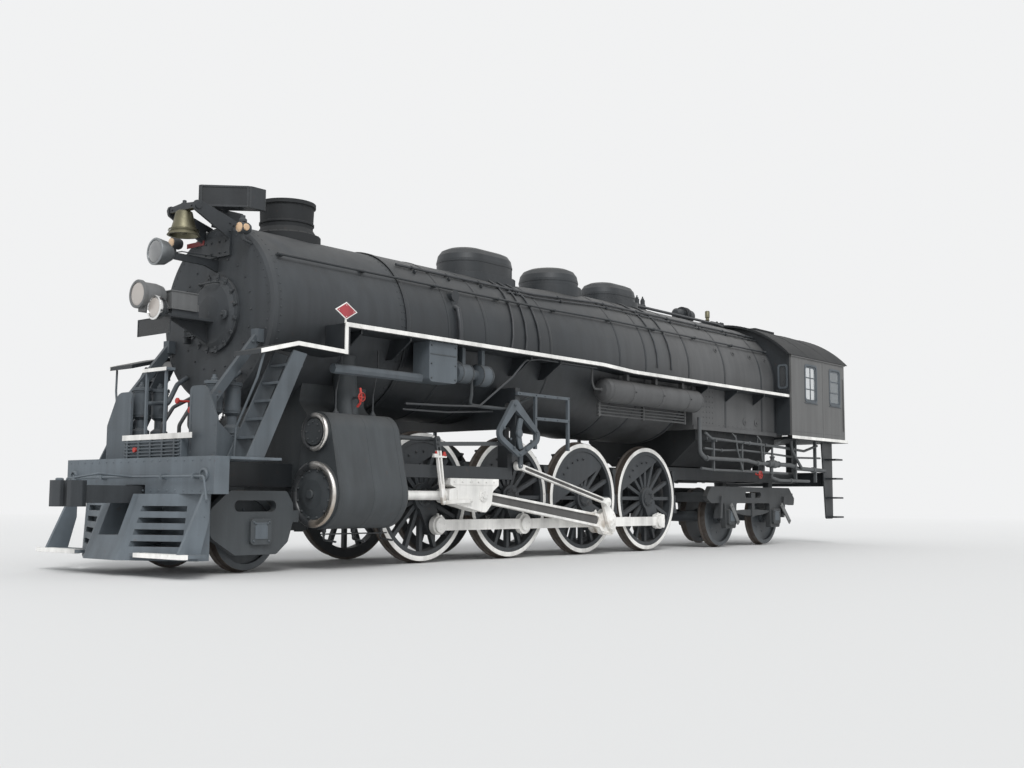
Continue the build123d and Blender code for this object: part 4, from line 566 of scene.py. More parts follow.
NODE_PAINT = {
    BARREL: "boiler_barrel",
    BLACK: "main_frame domes running_boards crosshead_guides handrails rear_drawbar bell_stand "
           "number_board cab_front boiler_fittings brake_rigging driving_springs cab_steps backhead_fittings",
    # Firebox and reservoirs in the lighter grey of painted light
    FIREBOX_LIT_GREY: "firebox air_reservoirs",
    CASTING: "cylinders lead_truck",
    GRAPHITE: "smokebox smokebox_door front_coupler",
    SOOT: "ash_pan stack cab_roof",
    TRUCK_GREY: "trailing_truck",
    # Cab sides in the lighter grey of painted light
    CAB_LIT_GREY: "cab_sides",
    # Pilot and front deck in the lighter slate of painted light
    DECK_LIT_SLATE: "pilot front_deck",
    SLATE: "pump_shields air_pumps smokebox_braces front_ladders valve_gear side_equipment",
    WHITE: "main_rods crossheads side_rod_left side_rod_right valve_rods",
    LAMP_GREY: "headlight",
    WOOD: "cab_floor",
}


def dress(node, material):
    """Gives a CAD node its material."""
    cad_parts[node].data.materials.clear()
    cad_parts[node].data.materials.append(material)


for material, names in NODE_PAINT.items():
    for node in names.split():
        dress(node, material)


# Wheels

DRIVER_RADIUS = 1.753 / 2
LEAD_RADIUS = 0.914 / 2
TRAIL_RADIUS = 1.092 / 2
WHEEL_FACE = 0.820
DRIVERS = ("driver_1", "driver_2", "driver_3", "driver_4")
MAIN_DRIVER = "driver_3"
CRANK = 0.432
PIN_FACE = 1.000
CRANK_ANGLE = {1: math.radians(244.0), -1: math.radians(334.0)}


def middle(node):
    low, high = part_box(node)
    return (low + high) / 2


def wheel_centre(node):
    low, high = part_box(node)
    return Vector(((low.x + high.x) / 2, 0, (low.z + high.z) / 2))


def axle_point(node, y, out=0.0, turn=0.0):
    """Point on the wheel's face, out from the axle at an angle in the side view."""
    centre = wheel_centre(node)
    return Vector((centre.x + out * math.cos(turn), y, centre.z + out * math.sin(turn)))


def driver_details(node):
    """White tyre faces, retaining bolts, hub rings and counterweight bolts."""
    faces = Shape()
    bolts = Shape()
    caps = Shape()
    for side in SIDES:
        axis = (0, side, 0)
        outer = [(-0.003, 0.808), (0.0015, 0.808), (0.004, 0.813), (0.004, 0.868), (0.0005, 0.874), (-0.003, 0.874)]
        faces.lathe(outer, axle_point(node, side * WHEEL_FACE), axis, 96, closed=True)
        hub = [(0, 0.135), (0.012, 0.135), (0.018, 0.125), (0.018, 0.085), (0.006, 0.075), (0.006, 0.0)]
        bolts.lathe(hub, axle_point(node, side * 0.850), axis, 36)
        bolts.ring_of(Shape.bolt, 8, axle_point(node, side * 0.866), axis, 0.105, 0.011)
        bolts.ring_of(Shape.rivet, 32, axle_point(node, side * 0.790), axis, 0.758, 0.013)
        weight = CRANK_ANGLE[side] + math.pi
        for step in (-2, -1, 0, 1, 2):
            place = axle_point(node, side * 0.805, 0.62, weight + step * 0.24)
            bolts.bolt(place, axis, 0.018)
        pin = axle_point(node, side * PIN_FACE, CRANK, CRANK_ANGLE[side])
        if node == MAIN_DRIVER:
            caps.lathe([(-0.002, 0.100), (0.001, 0.100), (0.002, 0.090), (0.002, 0.0)], pin, axis, 32)
        else:
            caps.lathe([(-0.034, 0.1065), (0.001, 0.1065), (0.004, 0.102), (0.004, 0.0)], pin, axis, 40)
            caps.ring_of(Shape.bolt, 3, pin + Vector((0, side * 0.003, 0)), axis, 0.055, 0.006)
    make(node + "_tyre_faces", faces, node, WHITE)
    make(node + "_hub_bolts", bolts, node, BLACK)
    make(node + "_pin_caps", caps, node, WHITE)


def carrying_details(node, radius):
    """Wheel hub rings and axle end covers of a small wheelset."""
    shape = Shape()
    for side in SIDES:
        axis = (0, side, 0)
        shape.lathe([(0, radius - 0.08), (0.010, radius - 0.085), (0.010, radius - 0.10), (0, radius - 0.105)],
                    axle_point(node, side * 0.757), axis, 64, closed=True)
        shape.ring_of(Shape.rivet, 8, axle_point(node, side * 0.760), axis, radius * 0.55, 0.016)
    make(node + "_rings", shape, node, SLATE)


for node in DRIVERS:
    driver_details(node)
    centre = wheel_centre(node)
    dress(node, wheel_paint(node + "_paint", centre, DRIVER_RADIUS, (0.040, 0.045, 0.050)))
CARRYING = {"lead_wheels": LEAD_RADIUS, "trailing_wheels_1": TRAIL_RADIUS, "trailing_wheels_2": TRAIL_RADIUS}
for node, radius in CARRYING.items():
    carrying_details(node, radius)
    dress(node, wheel_paint(node + "_paint", wheel_centre(node), radius, (0.075, 0.085, 0.093)))


# Rods, crossheads and cylinders

AXLE_Z = RAIL + DRIVER_RADIUS
ROD_PLANE = 1.140
ROD_FACE = ROD_PLANE + 0.050
CYLINDER_Z = RAIL + 0.893
VALVE_Z = RAIL + 1.650
CYLINDER_RADIUS = 0.420
VALVE_RADIUS = 0.250
CYLINDER_BACK = 4.680
CYLINDER_FRONT = 5.890
WRIST_X = 2.950
ECCENTRIC_FACE = ROD_FACE + 0.122
GEAR_FOOT = (2.225, RAIL + 1.330)
GEAR_PLANE = 1.420


def crank_pin(side):
    """Main crank pin in the side view."""
    turn = CRANK_ANGLE[side]
    return Vector((CRANK * math.cos(turn), AXLE_Z + CRANK * math.sin(turn)))


def wrist_pin(side):
    """Crosshead pin in the side view, a main rod's length from the crank pin."""
    left = crank_pin(1)
    length = math.hypot(WRIST_X - left.x, CYLINDER_Z - left.y)
    pin = crank_pin(side)
    return Vector((pin.x + math.sqrt(length ** 2 - (CYLINDER_Z - pin.y) ** 2), CYLINDER_Z))


def eccentric_pin(side):
    """Where the eccentric rod hangs on the return crank."""
    pin = crank_pin(side)
    return Vector((0.06 * pin.x, AXLE_Z + 0.17 * (pin.y - AXLE_Z)))


def hull(a, radius_a, b, radius_b, steps=10):
    """Outline wrapped round two circles."""
    a, b = Vector(a), Vector(b)
    run = b - a
    heading = math.atan2(run.y, run.x)
    lean = math.acos((radius_a - radius_b) / run.length)
    out = []
    for centre, radius, start, sweep in (
        (b, radius_b, heading - lean, 2 * lean),
        (a, radius_a, heading + lean, 2 * (math.pi - lean)),
    ):
        for i in range(steps + 1):
            t = start + sweep * i / steps
            out.append((centre.x + radius * math.cos(t), centre.y + radius * math.sin(t)))
    return out


def along_rod(start, end, along, up=0.0):
    """Point a distance along a rod from its start, and square to it, in the side view."""
    run = (end - start).normalized()
    return start + run * along + Vector((-run.y, run.x)) * up


def in_side(point, side, y):
    """Side-view point as a place on the given side."""
    return Vector((point.x, side * y, point.y))


def stained_white(name, spots):
    """White rod paint with brown grease round some places of the side view: (x, z, radius)."""
    material = painted(name, (0.86, 0.85, 0.82), 0.42, worn=(0.50, 0.45, 0.38), dust=0.2, wear=0.3, rust=0.25)
    p = Paint(material=material)
    blot = p.span(p.noise(5.5, 7), 0.42, 0.62, 0.0, 0.75)
    for x, z, radius in spots:
        p.recolor(p.math("MULTIPLY", p.span(p.away(x, z), radius * 0.3, radius, 1.0, 0.0), blot), (0.30, 0.23, 0.16))
    return material


ROD_WHITE = stained_white("rod_paint", [(crank_pin(1).x + 0.12, crank_pin(1).y - 0.18, 0.38), (0.25, 0.72, 0.30)])
# Dark grey as painted shade in the rods' flutes
FLUTE_SHADE_GREY = painted("flute_painted_shade", (0.090, 0.088, 0.086), 0.6, dust=0.5, wear=0.2)

# Painted shade: dark grey sheets on the flute floors of the main and eccentric rods
flute_shade = Shape()
straps = Shape()
for side in SIDES:
    wrist, pin = wrist_pin(side), crank_pin(side)
    length = (pin - wrist).length
    low, high = sorted((side * (ROD_FACE - 0.024), side * (ROD_FACE - 0.0225)))
    a = along_rod(wrist, pin, 0.262)
    b = along_rod(wrist, pin, length - 0.332)
    flute_shade.prism(hull(a, 0.048, b, 0.064), "xz", low, high)
    eccentric = eccentric_pin(side)
    foot = Vector(GEAR_FOOT)
    run = foot - eccentric
    low, high = sorted((side * (ECCENTRIC_FACE - 0.017), side * (ECCENTRIC_FACE - 0.0155)))
    flute_shade.prism(hull(eccentric + run * 0.071, 0.0205, eccentric + run * 0.929, 0.0205), "xz", low, high)

    # Big end: strap bolts, wedge, brass edge and oil cup
    axis = (0, side, 0)
    for along, up in ((-0.15, 0.150), (-0.02, 0.160), (0.10, 0.150), (-0.15, -0.150), (-0.02, -0.160), (0.10, -0.150)):
        place = in_side(along_rod(wrist, pin, length + along, up), side, ROD_FACE)
        straps.bolt(place, axis, 0.020)
    wedge = [along_rod(wrist, pin, length + u, v) for u, v in ((-0.125, -0.12), (-0.095, -0.12), (-0.100, 0.12), (-0.120, 0.12))]
    low, high = sorted((side * (ROD_FACE - 0.002), side * (ROD_FACE + 0.006)))
    straps.prism([tuple(v) for v in wedge], "xz", low, high)
    cup = in_side(along_rod(wrist, pin, length - 0.02, -0.197), side, ROD_PLANE)
    straps.lathe([(-0.005, 0.030), (0.018, 0.030), (0.020, 0.020), (0.042, 0.020), (0.046, 0.012), (0.046, 0)], cup, (0, 0, 1), 16)
    # Return crank on the pin, with its clamp bolts
    face = ROD_FACE + 0.062
    straps.lathe([(0, 0.078), (0.006, 0.078), (0.010, 0.070), (0.010, 0)], in_side(pin, side, face), axis, 32)
    straps.ring_of(Shape.bolt, 4, in_side(pin, side, face + 0.010), axis, 0.046, 0.011, 0.5)
    for place, size in ((eccentric, 0.052), (foot, 0.048)):
        spot = in_side(place, side, ECCENTRIC_FACE)
        straps.lathe([(-0.002, size), (0.006, size), (0.010, size - 0.008), (0.010, 0.026), (0.020, 0.024), (0.020, 0)], spot, axis, 24)
        straps.bolt(spot + Vector((0, side * 0.018, 0)), axis, 0.016)
    # Small end and the crosshead's pin cover
    cover = in_side(wrist, side, ROD_PLANE + 0.120)
    straps.lathe([(-0.002, 0.085), (0.010, 0.085), (0.016, 0.076), (0.016, 0.040), (0.030, 0.036), (0.030, 0)], cover, axis, 32)
    straps.ring_of(Shape.bolt, 6, cover + Vector((0, side * 0.014, 0)), axis, 0.060, 0.008)
    # Crosshead: shoe bolts, gib line and piston key
    for i in range(6):
        place = Vector((wrist.x - 0.22 + i * 0.165, side * (ROD_PLANE + 0.120), RAIL + 1.085))
        straps.bolt(place, axis, 0.013)
    low, high = sorted((side * (ROD_PLANE + 0.119), side * (ROD_PLANE + 0.125)))
    straps.box(wrist.x - 0.28, wrist.x + 0.62, low, high, RAIL + 1.040, RAIL + 1.046)
    straps.box(wrist.x + 0.50, wrist.x + 0.54, low, high, CYLINDER_Z - 0.075, CYLINDER_Z + 0.075)
    straps.lathe([(0, 0.090), (0.030, 0.090), (0.040, 0.078), (0.040, 0.060)], (wrist.x + 0.700, side * ROD_PLANE, CYLINDER_Z), (1, 0, 0), 24)
make("rod_flute_shade", flute_shade, "engine", FLUTE_SHADE_GREY)
make("rod_fittings", straps, "engine", ROD_WHITE, 0.0015)

# Side rods: knuckle joint, bushes and grease cups
for side, node in ((1, "side_rod_left"), (-1, "side_rod_right")):
    shape = Shape()
    low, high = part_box(node)
    turn = CRANK_ANGLE[side]
    axis = (0, side, 0)
    face = 0.965
    for name in DRIVERS:
        centre = wheel_centre(name)
        place = Vector((centre.x + CRANK * math.cos(turn), side * face, centre.z + CRANK * math.sin(turn)))
        shape.lathe([(-0.002, 0.128), (0.004, 0.128), (0.006, 0.122), (0.006, 0.112), (0.002, 0.108), (-0.002, 0.108)], place, axis, 48, closed=True)
        cup = Vector((place.x, side * 0.925, place.z + (0.147 if name != MAIN_DRIVER else 0.167)))
        if name in ("driver_1", "driver_4"):
            cup.z = place.z + 0.127 if name == "driver_1" else place.z + 0.112
        shape.lathe([(-0.012, 0.024), (0.014, 0.024), (0.016, 0.015), (0.032, 0.015), (0.034, 0.008), (0.034, 0)], cup, (0, 0, 1), 14)
    # Knuckle pin behind the main crank pin
    centre = wheel_centre(MAIN_DRIVER)
    knuckle = Vector((centre.x + CRANK * math.cos(turn) - 0.36, side * face, centre.z + CRANK * math.sin(turn)))
    shape.lathe([(-0.002, 0.058), (0.005, 0.058), (0.008, 0.050), (0.008, 0)], knuckle, axis, 28)
    shape.bolt(knuckle + Vector((0, side * 0.006, 0)), axis, 0.018)
    make(node + "_fittings", shape, node, ROD_WHITE, 0.001)

# Combination levers: red oil cups on top, pins below
caps = Shape()
pins = Shape()
stems = Shape()
for side in SIDES:
    travel = wrist_pin(side).x - WRIST_X
    top = Vector((3.930 + 0.12 * travel, RAIL + 1.640))
    foot = Vector((3.790 + travel, RAIL + 0.800))
    union = Vector((wrist_pin(side).x + 0.300, CYLINDER_Z - 0.070))
    axis = (0, side, 0)
    head = foot.lerp(top, 0.74)
    caps.lathe([(0, 0.030), (0.030, 0.030), (0.034, 0.022), (0.054, 0.020), (0.060, 0.012), (0.060, 0)],
               (head.x - 0.105, side * 1.286, head.y - 0.002), (0, 0, 1), 18)
    caps.lathe([(0, 0.020), (0.036, 0.018), (0.040, 0)], (head.x + 0.050, side * 1.286, head.y + 0.024), (0, 0, 1), 14)
    pins.box(head.x - 0.135, head.x + 0.105, *sorted((side * 1.262, side * 1.308)), head.y - 0.024, head.y)
    pins.box(head.x + 0.030, head.x + 0.100, *sorted((side * 1.266, side * 1.304)), head.y - 0.002, head.y + 0.026)
    for place, shape in ((top, stems), (foot, pins), (union, pins), (Vector((top.x, top.y - 0.060)), stems)):
        spot = in_side(place, side, 1.306)
        shape.lathe([(-0.002, 0.024), (0.008, 0.024), (0.010, 0.020), (0.010, 0)], spot, axis, 20)
        shape.bolt(spot + Vector((0, side * 0.008, 0)), axis, 0.011)
make("lever_oil_cups", caps, "engine", RED)
make("lever_pins", pins, "engine", ROD_WHITE)
make("valve_stem_pins", stems, "engine", GRAPHITE)
for node in "main_rods crossheads eccentric_rods side_rod_left side_rod_right".split():
    dress(node, ROD_WHITE)
LEVER_PAINT = stained_white("lever_paint", [(3.85, RAIL + 0.80, 0.30)])
p = Paint(material=LEVER_PAINT)
p.recolor(p.span(p.axes()[2], RAIL + 1.488, RAIL + 1.492), (0.052, 0.057, 0.061))
dress("valve_rods", LEVER_PAINT)

# Valve gear: curved link in each frame, its pins, the frame's bolts and the bracket feet
gear = Shape()
for side in SIDES:
    axis = (0, side, 0)
    low, high = sorted((side * (GEAR_PLANE - 0.045), side * (GEAR_PLANE - 0.015)))
    arc = [math.radians(a) for a in range(-17, 18, 2)]
    outer = [(2.340 - 1.20 + 1.245 * math.cos(a), RAIL + 1.790 + 1.245 * math.sin(a) * 0.62) for a in arc]
    inner = [(2.340 - 1.20 + 1.150 * math.cos(a), RAIL + 1.790 + 1.150 * math.sin(a) * 0.62) for a in reversed(arc)]
    gear.prism(outer + inner, "xz", low, high)
    gear.lathe([(0, 0.060), (0.040, 0.060), (0.048, 0.050), (0.048, 0)], (2.340, side * (GEAR_PLANE - 0.04), RAIL + 1.790), axis, 28)
    for x, z in ((2.340, RAIL + 1.490), (2.560, RAIL + 1.700), (2.100, RAIL + 1.690), (2.460, RAIL + 2.190), (2.700, RAIL + 1.850),
                 (1.960, RAIL + 1.830), (2.200, RAIL + 1.560), (2.480, RAIL + 1.580)):
        gear.bolt((x, side * GEAR_PLANE, z), axis, 0.020)
    for x in (1.160, 1.440, 1.750, 1.950, 2.330):
        gear.bolt((x, side * (GEAR_PLANE - 0.015), RAIL + 2.368), axis, 0.012)
        if x < 1.96:
            gear.bolt((x, side * (GEAR_PLANE - 0.015), RAIL + 2.028), axis, 0.012)
make("gear_links", gear, "engine", SLATE, 0.002)

# Cylinders: bright cover rings, jacket bands, studs, drain cocks and oil pipes
covers = Shape()
jacket = Shape()
cocks = Shape()
for side in SIDES:
    y = side * ROD_PLANE
    front = CYLINDER_FRONT + 0.045
    covers.lathe([(-0.004, 0.402), (0.012, 0.402), (0.026, 0.392), (0.034, 0.372), (0.034, 0.345), (0.024, 0.322), (0.004, 0.308), (-0.004, 0.305)],
                 (front, y, CYLINDER_Z), (1, 0, 0), 96, closed=True)
    covers.lathe([(-0.004, 0.234), (0.012, 0.234), (0.024, 0.226), (0.030, 0.210), (0.028, 0.192), (0.012, 0.176), (-0.004, 0.172)],
                 (front, y, VALVE_Z), (1, 0, 0), 72, closed=True)
    jacket.ring_of(Shape.bolt, 12, (front + 0.002, y, CYLINDER_Z), (1, 0, 0), 0.288, 0.016)
    jacket.lathe([(0, 0.055), (0.020, 0.055), (0.026, 0.048), (0.026, 0)], (front + 0.049, y, CYLINDER_Z), (1, 0, 0), 24)
    jacket.ring_of(Shape.bolt, 8, (front + 0.028, y, VALVE_Z), (1, 0, 0), 0.120, 0.014)
    for x in (CYLINDER_BACK + 0.110, CYLINDER_BACK + 0.600, CYLINDER_FRONT - 0.060):
        wrap = hull((y, CYLINDER_Z), CYLINDER_RADIUS + 0.003, (y, VALVE_Z), VALVE_RADIUS + 0.003, 40)
        jacket.prism(wrap, "yz", x, x + 0.045)
    rear = CYLINDER_BACK - 0.030
    jacket.ring_of(Shape.bolt, 12, (rear, y, CYLINDER_Z), (-1, 0, 0), 0.245, 0.018)
    jacket.lathe([(0, 0.130), (0.045, 0.130), (0.060, 0.105), (0.120, 0.100), (0.130, 0.085), (0.130, 0.064)], (rear, y, CYLINDER_Z), (-1, 0, 0), 32)
    jacket.ring_of(Shape.bolt, 4, (rear - 0.055, y, CYLINDER_Z), (-1, 0, 0), 0.118, 0.013, 0.785)
    jacket.lathe([(0, 0.100), (0.030, 0.100), (0.040, 0.070), (0.100, 0.065), (0.100, 0.034)], (rear, y, VALVE_Z), (-1, 0, 0), 28)
    jacket.ring_of(Shape.bolt, 8, (rear, y, VALVE_Z), (-1, 0, 0), 0.140, 0.014)
    for x in (CYLINDER_BACK + 0.130, CYLINDER_BACK + 0.605, CYLINDER_FRONT - 0.130):
        foot = CYLINDER_Z - CYLINDER_RADIUS
        cocks.lathe([(-0.010, 0.030), (0.040, 0.030), (0.045, 0.018), (0.085, 0.018)], (x, y, foot), (0, 0, -1), 14)
        cocks.tube([(x, y, foot - 0.075), (x, y, foot - 0.130), (x, y + side * 0.220, foot - 0.150)], 0.013, 8, 0.03)
    cocks.tube([(CYLINDER_BACK + 0.05, y + side * 0.030, CYLINDER_Z - 0.480), (CYLINDER_FRONT - 0.05, y + side * 0.030, CYLINDER_Z - 0.480)], 0.009, 6)
    # Oil pipes from the boiler to the steam chest
    for x, bend in ((CYLINDER_BACK + 0.300, 0.10), (CYLINDER_BACK + 0.930, 0.12)):
        start = Vector((x, y, VALVE_Z + VALVE_RADIUS - 0.010))
        cocks.lathe([(-0.010, 0.040), (0.030, 0.040), (0.034, 0.024), (0.060, 0.022)], start, (0, 0, 1), 14)
        cocks.tube([start, start + Vector((0, 0, 0.28)), start + Vector((-0.10, -side * 0.02, 0.62)), start + Vector((-0.10, -side * 0.02, 0.86))], 0.011, 8, bend)
# Rings of bright steel toward the outside, tan towards the bottom, and toward the middle of the engine a painted dark
# reflection: dark and not metallic
RING_REFLECTION_STEEL = bare_metal("ring_steel_painted_reflection", (0.84, 0.81, 0.77), 0.26)
p = Paint(material=RING_REFLECTION_STEEL)
_, across, up = p.axes()
p.recolor(p.span(p.math("ADD", up, p.math("MULTIPLY", p.noise(9, 4), 0.25)), CYLINDER_Z - 0.10, CYLINDER_Z + 0.10, 0.65, 0.0), (0.42, 0.32, 0.22))
# Painted dark reflection: a dark, unmetallic colour toward the middle of the engine
inner = p.span(p.math("ABSOLUTE", across), ROD_PLANE - 0.06, ROD_PLANE + 0.14, 1.0, 0.0)
p.recolor(inner, (0.042, 0.045, 0.048))
p.put(p.shader.inputs["Metallic"], p.math("SUBTRACT", 1.0, inner))
make("cylinder_cover_rings", covers, "engine", RING_REFLECTION_STEEL)
make("cylinder_jacket_trim", jacket, "engine", CASTING, 0.0015)
make("cylinder_cocks", cocks, "engine", PIPE)


# Boiler, smokebox, domes and stack

BOILER_Z = RAIL + 3.120
SMOKEBOX_RADIUS = 1.130
BARREL_RADIUS = 1.145
FIREBOX_RADIUS = 1.240
SMOKEBOX_FRONT = 6.600
SMOKEBOX_BACK = 4.350
CONE_FRONT = 1.200
CONE_BACK = -0.400
THROAT = -2.700
CAB_FRONT = -5.850
GRATE_Z = RAIL + 2.110
BOARD_EDGE = 1.547
BOARD_Z = RAIL + 2.972
BOARD_DROP = 0.040
BOARD_LOW = RAIL + 2.580
HANDRAIL_Z = RAIL + 3.790


def shell_radius(x):
    """Boiler's outside radius at a place along it."""
    if x > SMOKEBOX_BACK:
        return SMOKEBOX_RADIUS
    if x > CONE_FRONT:
        return BARREL_RADIUS
    if x > CONE_BACK:
        share = (CONE_FRONT - x) / (CONE_FRONT - CONE_BACK)
        return BARREL_RADIUS + (FIREBOX_RADIUS - BARREL_RADIUS) * share
    return FIREBOX_RADIUS


def on_shell(x, angle, lift=0.0):
    """Point on the boiler, its angle up from the left side in degrees."""
    t = math.radians(angle)
    radius = shell_radius(x) + lift
    return Vector((x, radius * math.cos(t), BOILER_Z + radius * math.sin(t)))


def outward(angle):
    t = math.radians(angle)
    return Vector((0, math.cos(t), math.sin(t)))


def firebox_wrap(proud):
    """Outline of the firebox casing in the front view, stood off by a little."""
    radius = FIREBOX_RADIUS + proud
    arc = [(radius * math.cos(math.radians(a)), BOILER_Z + radius * math.sin(math.radians(a))) for a in range(0, 181, 4)]
    return arc + [(-radius, GRATE_Z + 0.072), (radius, GRATE_Z + 0.072)]


bands = Shape()
for x, width in ((SMOKEBOX_BACK - 0.030, 0.075), (3.520, 0.055), (2.740, 0.055), (1.240, 0.055), (CONE_BACK - 0.080, 0.055),
                 (-1.250, 0.055), (-2.640, 0.060)):
    radius = shell_radius(x)
    bands.lathe([(0, radius - 0.002), (0, radius + 0.005), (0.004, radius + 0.007), (width - 0.004, radius + 0.007), (width, radius + 0.005), (width, radius - 0.002)],
                (x, 0, BOILER_Z), (1, 0, 0), 96, closed=True)
for x in (-3.900, -5.310, CAB_FRONT + 0.010):
    bands.prism(firebox_wrap(0.005), "yz", x, x + 0.050)
make("boiler_bands", bands, "engine", BLACK, 0.001)

rivets = Shape()
for x in (SMOKEBOX_BACK + 0.060, SMOKEBOX_BACK + 0.110, SMOKEBOX_FRONT - 0.110):
    for i in range(72):
        angle = i * 5.0
        rivets.rivet(on_shell(x, angle, -0.001), outward(angle), 0.014)
rivets.ring_of(Shape.rivet, 60, (SMOKEBOX_FRONT - 0.001, 0, BOILER_Z), (1, 0, 0), 1.020, 0.014)
rivets.ring_of(Shape.bolt, 20, (SMOKEBOX_FRONT - 0.001, 0, BOILER_Z), (1, 0, 0), 0.700, 0.013, 0.16)
make("smokebox_rivets", rivets, "engine", GRAPHITE)

# Staybolt caps, washout plugs and cover plates on the firebox sides
stays = Shape()
for x in (-3.080, -3.190, -3.300, -3.410):
    for i in range(8):
        stays.rivet((x, FIREBOX_RADIUS - 0.001, GRATE_Z + 0.140 + i * 0.095), (0, 1, 0), 0.017)
for i in range(13):
    x = -3.640 - i * 0.170
    stays.rivet((x, FIREBOX_RADIUS - 0.001, GRATE_Z + 0.115), (0, 1, 0), 0.013)
for x in (-3.700, -4.350, -5.000, -5.600):
    place = on_shell(x, 24, -0.004)
    stays.lathe([(0, 0.052), (0.010, 0.052), (0.014, 0.046), (0.014, 0.024), (0.040, 0.022), (0.040, 0)], place, outward(24), 24)
    stays.ring_of(Shape.bolt, 4, place + outward(24) * 0.010, outward(24), 0.038, 0.008)
for x in (-4.600, -5.050):
    stays.lathe([(0, 0.070), (0.012, 0.070), (0.018, 0.060), (0.018, 0.030), (0.034, 0.028), (0.034, 0)],
                (x, FIREBOX_RADIUS - 0.002, GRATE_Z + 0.230), (0, 1, 0), 28)
stays.both_sides()
# Firebox stays share the firebox's lighter grey of painted light
make("firebox_stays", stays, "engine", FIREBOX_LIT_GREY)

# Sand pipes, check valve pipes and the steam line to the turret
pipes = Shape()
for x, end in ((1.560, 1.560), (1.760, 1.900), (1.960, 2.240)):
    path = [on_shell(x, 68, 0.020)]
    path += [on_shell(x + (end - x) * i / 6, 68 - i * 12.5, 0.020) for i in range(1, 7)]
    pipes.tube(path, 0.016, 8)
    pipes.lathe([(0, 0.030), (0.030, 0.030), (0.036, 0.020), (0.036, 0)], path[0], (0, 0.4, 1), 12)
for x in (-1.560, -2.000):
    path = [on_shell(x, 76 - i * 11, 0.018) for i in range(8)]
    pipes.tube(path, 0.014, 8)
check_seat = math.sqrt(BARREL_RADIUS ** 2 - 0.560 ** 2)
pipes.tube([(3.380, check_seat + 0.040, BOILER_Z + 0.420)] + [on_shell(3.380, 18 - i * 9, 0.050) for i in range(5)], 0.036, 12)
pipes.tube([on_shell(x, 52, 0.030) for x in (4.200, 1.200, -0.400, -5.800)], 0.020, 8)
pipes.tube([on_shell(x, 47.5, 0.022) for x in (1.900, 1.200, -0.400, -5.800)], 0.013, 8)
pipes.tube([(4.550, 1.300, RAIL + 2.080), (3.850, 1.310, RAIL + 2.100), (3.150, 1.340, RAIL + 2.130), (2.500, 1.400, RAIL + 2.590),
            (2.250, 1.440, RAIL + 2.850), (1.950, 1.450, RAIL + 2.900), (0.500, 1.450, RAIL + 2.900)], 0.015, 8, 0.10)
pipes.tube([(4.550, 1.250, RAIL + 2.010), (3.700, 1.250, RAIL + 2.020), (2.760, 1.250, RAIL + 2.090)], 0.014, 8, 0.10)
pipes.both_sides()
pipes.tube([(-5.450, 0.300, BOILER_Z + 1.230), (-5.200, 0.300, BOILER_Z + 1.252), (-2.050, 0.300, BOILER_Z + 1.252), (-1.900, 0.300, BOILER_Z + 1.300), (-1.900, 0.200, BOILER_Z + 1.330)],
           0.026, 10, 0.06)
make("boiler_pipes", pipes, "engine", PIPE)

# Pipe clips, handrail knobs, dome bolts and lids, stack trim
trim = Shape()
span_x = 6.450 + 5.780
for i in range(10):
    x = 6.390 - i * (span_x - 0.120) / 9
    rise = HANDRAIL_Z - BOILER_Z
    y = math.sqrt(shell_radius(x) ** 2 - rise ** 2) + 0.060
    ball = [(0.036 * math.sin(math.radians(a)), 0.031 * math.cos(math.radians(a))) for a in range(-90, 91, 30)]
    trim.lathe(ball, (x, y, HANDRAIL_Z), (1, 0, 0), 14)
    flange = (x, y - 0.058, HANDRAIL_Z)
    trim.lathe([(0, 0.034), (0.016, 0.030), (0.020, 0.018), (0.030, 0.016)], flange, (0, 1, 0), 12)
for x in [3.9, 3.2, 2.5, 1.7, 0.6, -0.6, -1.6, -2.6, -3.6, -4.6, -5.5]:
    for angle, lift in ((52, 0.030), (47.5, 0.022)):
        place = on_shell(x, angle, lift)
        trim.lathe([(-0.012, 0.027), (0.012, 0.027)], place, (1, 0, 0), 10)
trim.both_sides()
make("handrail_knobs", trim, "engine", BLACK)

DOMES = ((1.760, 1.350, 0.860), (-0.120, 1.000, 0.999), (-1.860, 1.150, 0.780))
DOME_TOP = RAIL + 4.700
dome_trim = Shape()
for x, length, width in DOMES:
    reach = (length - width) / 2
    radius = width / 2
    crown = BOILER_Z + shell_radius(x)
    # Bead under the shoulder, bolts on the foot
    outline = hull((x - reach - 1e-4, 0), radius + 0.006, (x + reach + 1e-4, 0), radius + 0.006, 24)
    dome_trim.prism(outline, "xy", DOME_TOP - 0.235, DOME_TOP - 0.205)
    for i in range(28):
        t = 2 * math.pi * i / 28
        place = Vector((x + math.copysign(reach, math.cos(t)) + (radius + 0.028) * math.cos(t), (radius + 0.028) * math.sin(t), 0))
        place.z = BOILER_Z + shell_radius(place.x) + 0.024
        dome_trim.bolt(place, (0, 0, 1), 0.012)
for x in (1.480, 2.040):
    dome_trim.lathe([(-0.010, 0.150), (0.008, 0.150), (0.014, 0.142), (0.018, 0.060), (0.018, 0)], (x, 0, DOME_TOP - 0.004), (0, 0, 1), 36)
    dome_trim.tube([(x - 0.130, 0, DOME_TOP + 0.004), (x - 0.130, 0, DOME_TOP + 0.022), (x + 0.130, 0, DOME_TOP + 0.022), (x + 0.130, 0, DOME_TOP + 0.004)], 0.006, 6, 0.015)
dome_trim.ring_of(Shape.bolt, 10, (-0.120, 0, DOME_TOP - 0.003), (0, 0, 1), 0.220, 0.013)
dome_trim.ring_of(Shape.bolt, 10, (-1.860, 0, DOME_TOP - 0.003), (0, 0, 1), 0.150, 0.012)
make("dome_trim", dome_trim, "engine", BLACK, 0.001)

